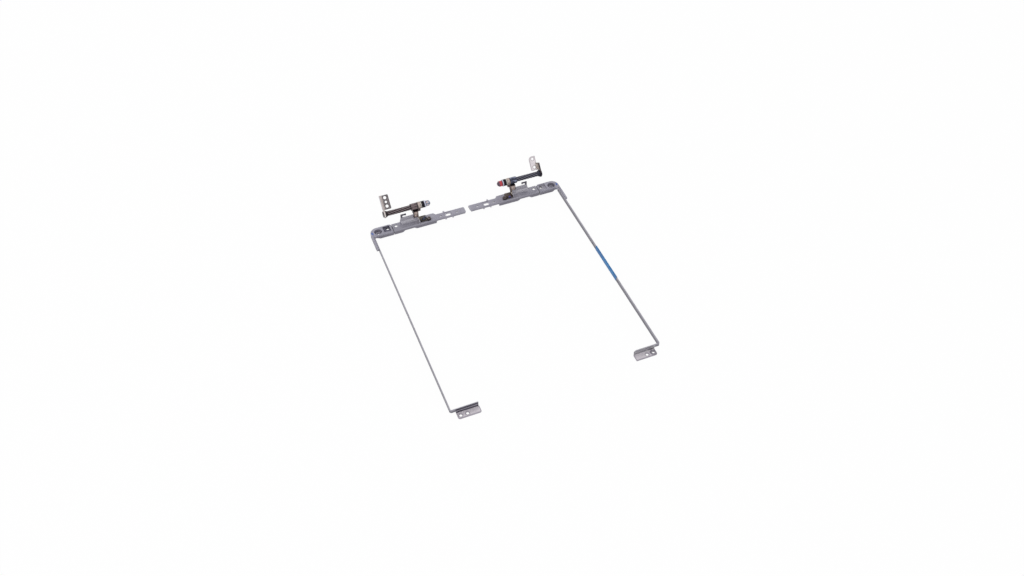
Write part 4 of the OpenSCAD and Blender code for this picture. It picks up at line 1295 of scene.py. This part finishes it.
@dataclass
class ShaftStack:
    """Everything that is threaded on the shaft, from the staked head to the nut."""

    plate_from: float = 14.1
    plate_to: float = 15.6
    stake_h: float = 0.7
    stake_r: float = 2.9
    core_r: float = 1.4
    shoulder_r: float = 3.3
    shoulder_w: float = 0.8
    taper: float = 1.6
    collar_from: float = 41.3
    collar_to: float = 48.1
    collar_r: float = 3.4
    collar_flats: float = 6.2
    journal_r: float = 1.95
    ear_to: float = 51.4
    thread_to: float = 61.42
    thread_r: float = 1.75
    thread_flats: float = 2.6
    thread_pitch: float = 0.6
    thread_deep: float = 0.14
    thread_step: float = 0.1
    end_bevel: float = 0.3
    centre_r: float = 0.01
    sleeve_from: float = 18.0
    sleeve_r: float = 2.45
    sleeve_blank_r: float = 9.0
    sleeve_groove: float = 0.14
    sleeve_step: float = 0.22
    sleeve_starts: int = 6
    sleeve_pitch: float = 19.0
    washer_t: float = 0.4
    friction_t: float = 1.0
    washer_r: float = 3.4
    spring_r: float = 3.45
    spring_t: float = 0.45
    spring_dish: float = 0.28
    spring_count: int = 4
    lock_t: float = 1.2
    lock_r: float = 3.5
    nut_af: float = 5.2
    nut_h: float = 4.0
    nut_chamfer: float = 0.7
    edge: float = 0.15
    bore_gap: float = 0.02
    spring_gap: float = 0.1
    coat_t: float = 0.05
    coat_wave: float = 0.03
    coat_edge: float = 0.12
    ring_steps: int = 72
    shaft_steps: int = 96
    sleeve_steps: int = 120
    nut_steps: int = 144
    rim_wide: float = 0.42

    def build(self, maker: Maker) -> None:
        """Makes shaft, sleeve, washers, springs and nut on their moving body.

        Args:
            maker: The bench and the half that it is made for.
        """
        body = f"{maker.side.value}_base_arm"
        left = maker.side is Side.LEFT
        oxide = OXIDE_WARM if left else OXIDE_COOL
        springs_from = self.ear_to + self.friction_t
        springs_to = springs_from + self.spring_count * (self.spring_t + self.spring_dish)
        lock_to = springs_to + self.lock_t
        shaft_finishes = [oxide, COLLAR_WARM if left else COLLAR_COOL, BRIGHT if left else STAINED_END]
        pieces = [
            ("turned_shaft", "shaft", "dark_steel", shaft_finishes, self._shaft()),
            ("ribbed_sleeve", "spiral_sleeve", "dark_steel", [oxide], self._sleeve(maker.side)),
            ("thin_washer", "collar_washer", "black_steel", [BLACK_OXIDE],
             self._ring(self.collar_to, self.washer_t, self.washer_r, self.journal_r)),
            ("friction_ring", "friction_washer", "bright_steel", [OILED],
             self._ring(self.ear_to, self.friction_t, self.washer_r, self.thread_r)),
            ("spring_pack", "disc_springs", "black_steel", [BLACK_OXIDE], self._springs(springs_from)),
            ("stop_washer", "lock_washer", "bright_steel", [WHITE_ZINC],
             self._ring(springs_to, self.lock_t, self.lock_r, self.thread_r)),
            ("chamfered_nut", "nut", "bright_steel", [BRIGHT if left else STAINED_END], self._nut(lock_to)),
        ]
        for name, node, slot, finishes, shape in pieces:
            shape.transform(maker.bench.about_shaft())
            if any(finish.outlined for finish in finishes):
                outlined(shape, self.rim_wide)
            maker.hand_over(shape, name, body, finishes, slot, node)
        if not left:
            self._red_paint(maker, lock_to, body)

    def _shaft(self) -> Solid:
        """The turned shaft with its flats and threaded end.

        Returns:
            The shaft, its collar and its end marked as finishes of their own.
        """
        shoulder_to = self.plate_to + self.shoulder_w
        outline = [
            (self.plate_from - self.stake_h, self.centre_r),
            (self.plate_from - self.stake_h, self.stake_r),
            (self.plate_from, self.stake_r), (self.plate_from, self.core_r), (self.plate_to, self.core_r),
            (self.plate_to, self.shoulder_r), (shoulder_to, self.shoulder_r),
            (shoulder_to + self.taper, self.sleeve_r - self.sleeve_groove),
            (shoulder_to + self.taper, self.core_r), (self.collar_from, self.core_r),
            (self.collar_from, self.collar_r), (self.collar_to, self.collar_r),
            (self.collar_to, self.journal_r), (self.ear_to, self.journal_r), (self.ear_to, self.thread_r),
        ]
        profile = finer(eased(outline, self.edge), 0.2)
        steps = int((self.thread_to - self.end_bevel - self.ear_to) / self.thread_step)
        profile += [(self.ear_to + self.thread_step * (i + 1), self.thread_r) for i in range(steps)]
        profile += [(self.thread_to - 0.25, self.thread_r), (self.thread_to, self.thread_r - self.end_bevel)]
        profile += [(self.thread_to, self.centre_r)]

        def limit(along: float, angle: float) -> float:
            """Flats on the collar and the end, and the thread's groove.

            Args:
                along: Place along the axis.
                angle: Angle round it.

            Returns:
                The largest radius there.
            """
            across = max(abs(math.sin(angle)), 1e-6)
            if self.collar_from - 0.2 < along < self.collar_to + 0.01:
                return self.collar_flats / 2 / max(abs(math.cos(angle)), 1e-6)
            if along <= self.ear_to + 0.05:
                return OPEN
            turn = (along / self.thread_pitch + angle / (2 * math.pi)) % 1
            groove = self.thread_r - self.thread_deep * abs(2 * turn - 1)
            return min(groove, self.thread_flats / 2 / across)

        made = turned(profile, limit, self.shaft_steps)
        for face in made.faces:
            along = face.calc_center_median().x
            face.material_index = 2 if along > self.ear_to else int(along > self.collar_from - 0.05)
        return made

    def _sleeve(self, side: Side) -> Solid:
        """The sleeve whose ridges wind round it.

        Args:
            side: The half it is for. Both sleeves wind alike in the shared frame.

        Returns:
            The sleeve, with the attribute "ridge" on its crests.
        """
        length = self.collar_from - self.sleeve_from
        count = int(length / self.sleeve_step)
        middle = self.sleeve_r - self.sleeve_groove / 2
        sense = 1 if side is Side.LEFT else -1

        def ridge(along: float, angle: float) -> float:
            """Radius over the ridges and the grooves between them.

            Args:
                along: Place along the axis.
                angle: Angle round it.

            Returns:
                The radius there.
            """
            turn = angle - sense * 2 * math.pi * (along - self.sleeve_from) / self.sleeve_pitch
            return middle + self.sleeve_groove / 2 * math.cos(self.sleeve_starts * turn)

        inner = self.core_r + self.bore_gap
        profile = [(self.sleeve_from, inner)]
        profile += [(self.sleeve_from + length * i / count, self.sleeve_blank_r) for i in range(count + 1)]
        profile += [(self.collar_from, inner), (self.sleeve_from, inner)]
        made = turned(profile, None, self.sleeve_steps)
        raised = made.verts.layers.float.new("ridge")
        for vert in made.verts:
            radius = math.hypot(vert.co.y, vert.co.z)
            if radius > inner + 0.1:
                target = ridge(vert.co.x, math.atan2(vert.co.z, vert.co.y))
                vert.co.y *= target / radius
                vert.co.z *= target / radius
                vert[raised] = max(0.0, (target - middle) / (self.sleeve_groove / 2)) ** 3
        return made

    def _ring(self, start: float, thick: float, outer: float, inner: float) -> Solid:
        """A flat ring with eased rims.

        Args:
            start: Where it starts along the axis.
            thick: Its thickness.
            outer: Its outer radius.
            inner: Its bore's radius.

        Returns:
            The ring.
        """
        middle = (inner + outer) / 2
        outline = [
            (start, middle), (start, outer), (start + thick, outer), (start + thick, inner), (start, inner),
            (start, middle),
        ]
        profile = finer(eased(outline, min(self.edge, thick * 0.35)), 0.15)
        return turned(profile, None, self.ring_steps)

    def _springs(self, start: float) -> Solid:
        """Dished springs, each turned against its neighbour.

        Args:
            start: Where the pack starts along the axis.

        Returns:
            All springs as one shape.
        """
        step = self.spring_t + self.spring_dish
        bore = self.thread_r + self.spring_gap
        rings = []
        for i in range(self.spring_count):
            at = start + i * step
            near, far = (0, self.spring_dish) if i % 2 == 0 else (self.spring_dish, 0)
            middle, half = (bore + self.spring_r) / 2, (near + far) / 2
            outline = [
                (at + half, middle), (at + far, self.spring_r), (at + far + self.spring_t, self.spring_r),
                (at + near + self.spring_t, bore), (at + near, bore), (at + half, middle),
            ]
            rings.append(turned(eased(outline, 0.1), None, self.ring_steps))
        return joined(*rings)

    def _nut(self, start: float) -> Solid:
        """A hexagon nut with both faces chamfered.

        Args:
            start: Where it starts along the axis.

        Returns:
            The nut.
        """
        corner = self.nut_af / math.sqrt(3)
        bore = self.thread_r + self.bore_gap
        steps = [i * self.nut_chamfer / 5 for i in range(6)]
        profile = [(start, bore), (start, corner - self.nut_chamfer)]
        profile += [(start + s, corner - self.nut_chamfer + s) for s in steps[1:]]
        profile += [(start + self.nut_h - s, corner - self.nut_chamfer + s) for s in reversed(steps)]
        profile = finer(profile, 0.15) + [(start + self.nut_h, bore), (start, bore)]
        return turned(profile, self._hexagon, self.nut_steps)

    def _hexagon(self, along: float, angle: float) -> float:
        """Distance to the nut's flats, with slightly rounded edges between them.

        Args:
            along: Place along the axis; not used, as the nut is the same all along.
            angle: Angle round it.

        Returns:
            The radius there.
        """
        off = (angle + math.pi / 6) % (math.pi / 3) - math.pi / 6
        return min(self.nut_af / 2 / math.cos(off), self.nut_af / math.sqrt(3) - 0.06)

    def _red_paint(self, maker: Maker, start: float, body: str) -> None:
        """Red lock paint brushed round the right nut.

        Args:
            maker: The bench and the half.
            start: Where the nut starts along the axis.
            body: The body that carries it.
        """
        corner = self.nut_af / math.sqrt(3)
        end = start + self.nut_h
        buried, outside = corner - 0.6, corner + self.coat_t
        profile = [
            (start + 0.3, buried), (start + 0.35, outside),
            (end - self.nut_chamfer - 0.5, outside), (end - self.nut_chamfer - 0.4, buried),
        ]

        def coat(along: float, angle: float) -> float:
            """The nut's flats with the coat's own thickness.

            Args:
                along: Place along the axis.
                angle: Angle round it.

            Returns:
                The radius there.
            """
            waves = noise.noise(Vector((along, 2 * math.cos(angle), 2 * math.sin(angle))))
            return self._hexagon(along, angle) + self.coat_t + self.coat_wave * waves

        shape = turned(eased(profile, self.coat_edge), coat, self.shaft_steps)
        shape.transform(maker.bench.about_shaft())
        maker.hand_over(shape, "red_lock_paint", body, [RED_PAINT])


@dataclass(frozen=True)
class Dab:
    """One dab: its middle, half its sizes, its turn in degrees, its outline's seed and its height."""

    at: tuple[float, float]
    half_u: float
    half_v: float
    turn: float
    seed: int
    high: float = 0.12


@dataclass
class PaintMarks:
    """Small dabs: blue marks on the corners and thread lock beside the seat screws."""

    corner_top: float = 6.5
    foot_top: float = 7.9
    mark_left: Dab = Dab((-1.0, 4.2), 1.1, 2.1, turn=12, seed=3)
    mark_right: Dab = Dab((-0.9, 4.6), 1.1, 2.1, turn=12, seed=3)
    drop_left: Dab = Dab((52.7, 4.8), 1.8, 3.3, turn=-43, seed=8, high=1.8)
    drop_right: Dab = Dab((51.7, 2.7), 1.3, 1.1, turn=0, seed=8, high=1.3)
    sunk: float = 0.04
    uneven: float = 0.25
    rings: int = 6
    steps: int = 36

    def build(self, maker: Maker) -> None:
        """Puts the dabs on their surfaces.

        Args:
            maker: The bench and the half that it is made for.
        """
        mark, drop, lock = self.mark_left, self.drop_left, THREAD_LOCK
        if maker.side is Side.RIGHT:
            mark, drop, lock = self.mark_right, self.drop_right, FRESH_LOCK
        maker.hand_over(self._dome(mark, self.corner_top), "blue_corner_mark", LID, [BLUE_PAINT])
        maker.hand_over(self._dome(drop, self.foot_top), "thread_lock_drop", LID, [lock])

    def _dome(self, dab: Dab, top: float) -> Solid:
        """A low dome with an uneven outline, sunk a hair into its surface.

        Args:
            dab: Its place and sizes.
            top: Height of the surface that it lies on.

        Returns:
            The dome.
        """
        steps = self.steps
        made = bmesh.new()
        middle = Vector((*dab.at, top))
        spin = Matrix.Rotation(math.radians(dab.turn), 4, "Z")
        loops = []
        for i in range(1, self.rings + 1):
            share = i / self.rings
            loop = []
            for k in range(steps):
                angle = 2 * math.pi * k / steps
                cos, sin = math.cos(angle), math.sin(angle)
                reach = share * (1 + self.uneven * noise.noise(Vector((cos * 1.3, sin * 1.3, dab.seed))))
                height = dab.high * math.sqrt(max(0.0, 1 - share**2)) - self.sunk * (i == self.rings)
                spot = Vector((dab.half_u * reach * cos, dab.half_v * reach * sin, height))
                loop.append(made.verts.new(spin @ spot + middle))
            loops.append(loop)
        crown = made.verts.new(middle + Vector((0, 0, dab.high)))
        for k in range(steps):
            made.faces.new((crown, loops[0][k], loops[0][(k + 1) % steps]))
        made.faces.new(loops[-1])
        return walled(made, loops, capped=False)


@dataclass
class ArmFilm:
    """Protective film folded over the right arm's top edge."""

    start: float = 92.0
    end: float = 137.0
    arm_t: float = 0.9
    low: float = 1.3
    top: float = 6.2
    film_t: float = 0.08
    hem: float = 0.1
    wrinkle: float = 0.03
    tear: float = 0.5
    grid: float = 0.6
    steps: int = 120

    def build(self, maker: Maker) -> None:
        """Makes the folded film with its small wrinkles.

        Args:
            maker: The bench and the half that it is made for.
        """
        made = bmesh.new()
        outer_u, low, fold = -self.arm_t - self.film_t, self.low + self.hem, self.top + self.film_t
        outer = [(outer_u, low), (outer_u, fold), (self.film_t, fold), (self.film_t, low)]
        inner = [(0.0, low), (0.0, self.top), (-self.arm_t, self.top), (-self.arm_t, low)]
        rows = [(*p, 1.0) for p in finer(outer, self.grid)] + [(*p, 0.0) for p in finer(inner, self.grid)]
        loops = []
        for i in range(self.steps + 1):
            loop = []
            seed = 3.0 if i == 0 else 9.0
            for u, w, moves in rows:
                ragged = self.tear * noise.noise(Vector((w * 0.9, u, seed))) if i in (0, self.steps) else 0.0
                v = -self.start - (self.end - self.start) * i / self.steps + ragged * moves
                wave = noise.noise(Vector((u, v * 0.35, w * 0.5))) + 0.4
                lift = max(0.0, self.wrinkle * wave * moves)
                side = 1 if u > -self.arm_t / 2 else -1
                loop.append(made.verts.new((u + side * lift, v, w + lift * (w > self.top))))
            loops.append(loop)
        for face in walled(made, loops).faces:
            # Upward faces take the paler fold: a painted highlight
            face.material_index = int(face.normal.z > 0.5)
        maker.hand_over(made, "blue_edge_film", LID, [FILM, FILM_FOLD], "blue_film", "arm_film")


@dataclass
class Studio:
    """A white table with soft light, and the camera at the photograph's angle."""

    lens: float = 34.33
    camera_at: tuple[float, float, float] = (-227.3, -580.4, 671.6)
    look_at: tuple[float, float, float] = (3.7, -6.0, 0.0)
    table: float = 40.0
    floor_gap_mm: float = 0.02
    ambient: float = 0.72
    floor_glow: float = 0.97
    key_at: tuple[float, float, float] = (-0.7, -0.4, 1.5)
    key_size: float = 1.2
    key_power: float = 5.5
    back_at: tuple[float, float, float] = (0.1, 1.3, 1.1)
    back_size: float = 1.0
    back_share: float = 0.4

    def build(self) -> None:
        """Sets floor, world, lamps and camera."""
        scene = bpy.context.scene
        scene.view_settings.view_transform = "Standard"
        self._floor()
        self._world(scene)
        self._lamp("key softbox", self.key_at, self.key_size, self.key_power)
        self._lamp("back softbox", self.back_at, self.back_size, self.key_power * self.back_share)
        self._camera(scene)

    def _floor(self) -> None:
        """A pale table that keeps a faint shadow."""
        mesh = bpy.data.meshes.new("table")
        half = self.table / 2
        corners = [(-half, -half, 0), (half, -half, 0), (half, half, 0), (-half, half, 0)]
        mesh.from_pydata(corners, [], [(0, 1, 2, 3)])
        floor = bpy.data.objects.new("table", mesh)
        floor.location.z = -self.floor_gap_mm * MM
        bpy.context.scene.collection.objects.link(floor)
        made = bpy.data.materials.new("White laminate table")
        tree = emptied(made)
        seen = self._seen(tree)
        matt = add(tree, "BsdfDiffuse", {"Color": linear("#F4F4F5")}).outputs[0]
        glow = add(tree, "Emission", {"Color": (1, 1, 1, 1), "Strength": 1.0}).outputs[0]
        share = add(tree, "Math", {0: seen, 1: self.floor_glow}, operation="MULTIPLY").outputs[0]
        mixed = add(tree, "MixShader", {0: share, 1: matt, 2: glow}).outputs[0]
        add(tree, "OutputMaterial", {"Surface": mixed})
        mesh.materials.append(made)

    @staticmethod
    def _seen(tree: bpy.types.NodeTree) -> bpy.types.NodeSocket:
        """One where a ray comes from the camera, from gloss or through glass.

        Args:
            tree: The node tree that asks.

        Returns:
            The socket that carries it.
        """
        path = add(tree, "LightPath").outputs
        seen = path["Is Camera Ray"]
        for ray in ("Is Glossy Ray", "Is Transmission Ray"):
            seen = add(tree, "Math", {0: seen, 1: path[ray]}, operation="MAXIMUM").outputs[0]
        return seen

    def _world(self, scene: bpy.types.Scene) -> None:
        """White where it is seen, and a plain level of light where it isn't.

        Args:
            scene: The scene that takes the world.
        """
        world = bpy.data.worlds.new("studio")
        tree = emptied(world)
        levels = {"To Min": self.ambient, "To Max": 1.0}
        strength = add(tree, "MapRange", {"Value": self._seen(tree), **levels}).outputs[0]
        shine = add(tree, "Background", {"Color": (1, 1, 1, 1), "Strength": strength}).outputs[0]
        add(tree, "OutputWorld", {"Surface": shine})
        scene.world = world

    @staticmethod
    def _lamp(name: str, at: tuple[float, float, float], size: float, power: float) -> None:
        """A large square lamp that faces the object.

        Args:
            name: The lamp's name.
            at: Its place, in metres.
            size: Length of its side, in metres.
            power: Its power in watts.
        """
        lamp = bpy.data.lights.new(name, "AREA")
        lamp.shape = "SQUARE"
        lamp.size = size
        lamp.energy = power
        holder = bpy.data.objects.new(name, lamp)
        holder.location = at
        holder.rotation_euler = (-Vector(at)).to_track_quat("-Z", "Y").to_euler()
        bpy.context.scene.collection.objects.link(holder)

    def _camera(self, scene: bpy.types.Scene) -> None:
        """The camera that was fitted to the photograph.

        Args:
            scene: The scene that takes the camera.
        """
        data = bpy.data.cameras.new("camera")
        data.lens = self.lens
        data.sensor_width = 36.0
        data.clip_start, data.clip_end = 0.01, 50.0
        camera = bpy.data.objects.new("camera", data)
        camera.location = Vector(self.camera_at) * MM
        aim = (Vector(self.look_at) - Vector(self.camera_at)).normalized()
        camera.rotation_euler = aim.to_track_quat("-Z", "Y").to_euler()
        scene.collection.objects.link(camera)
        scene.camera = camera


def main() -> None:
    """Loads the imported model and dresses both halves."""
    logging.basicConfig(level=logging.INFO, format="%(relativeCreated)6.0f ms %(message)s")
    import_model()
    Studio().build()
    bench = Bench.from_frame()
    LOG.info("half span %.3f mm, back %.3f mm", bench.half_span, bench.back)
    for side in Side:
        maker = Maker(bench, side)
        for part in (SideArm(), Corner(), Rail(), Seat(), BasePlate(), ShaftStack(), PaintMarks()):
            part.build(maker)
        if side is Side.RIGHT:
            ArmFilm().build(maker)


if __name__ == "__main__":
    main()
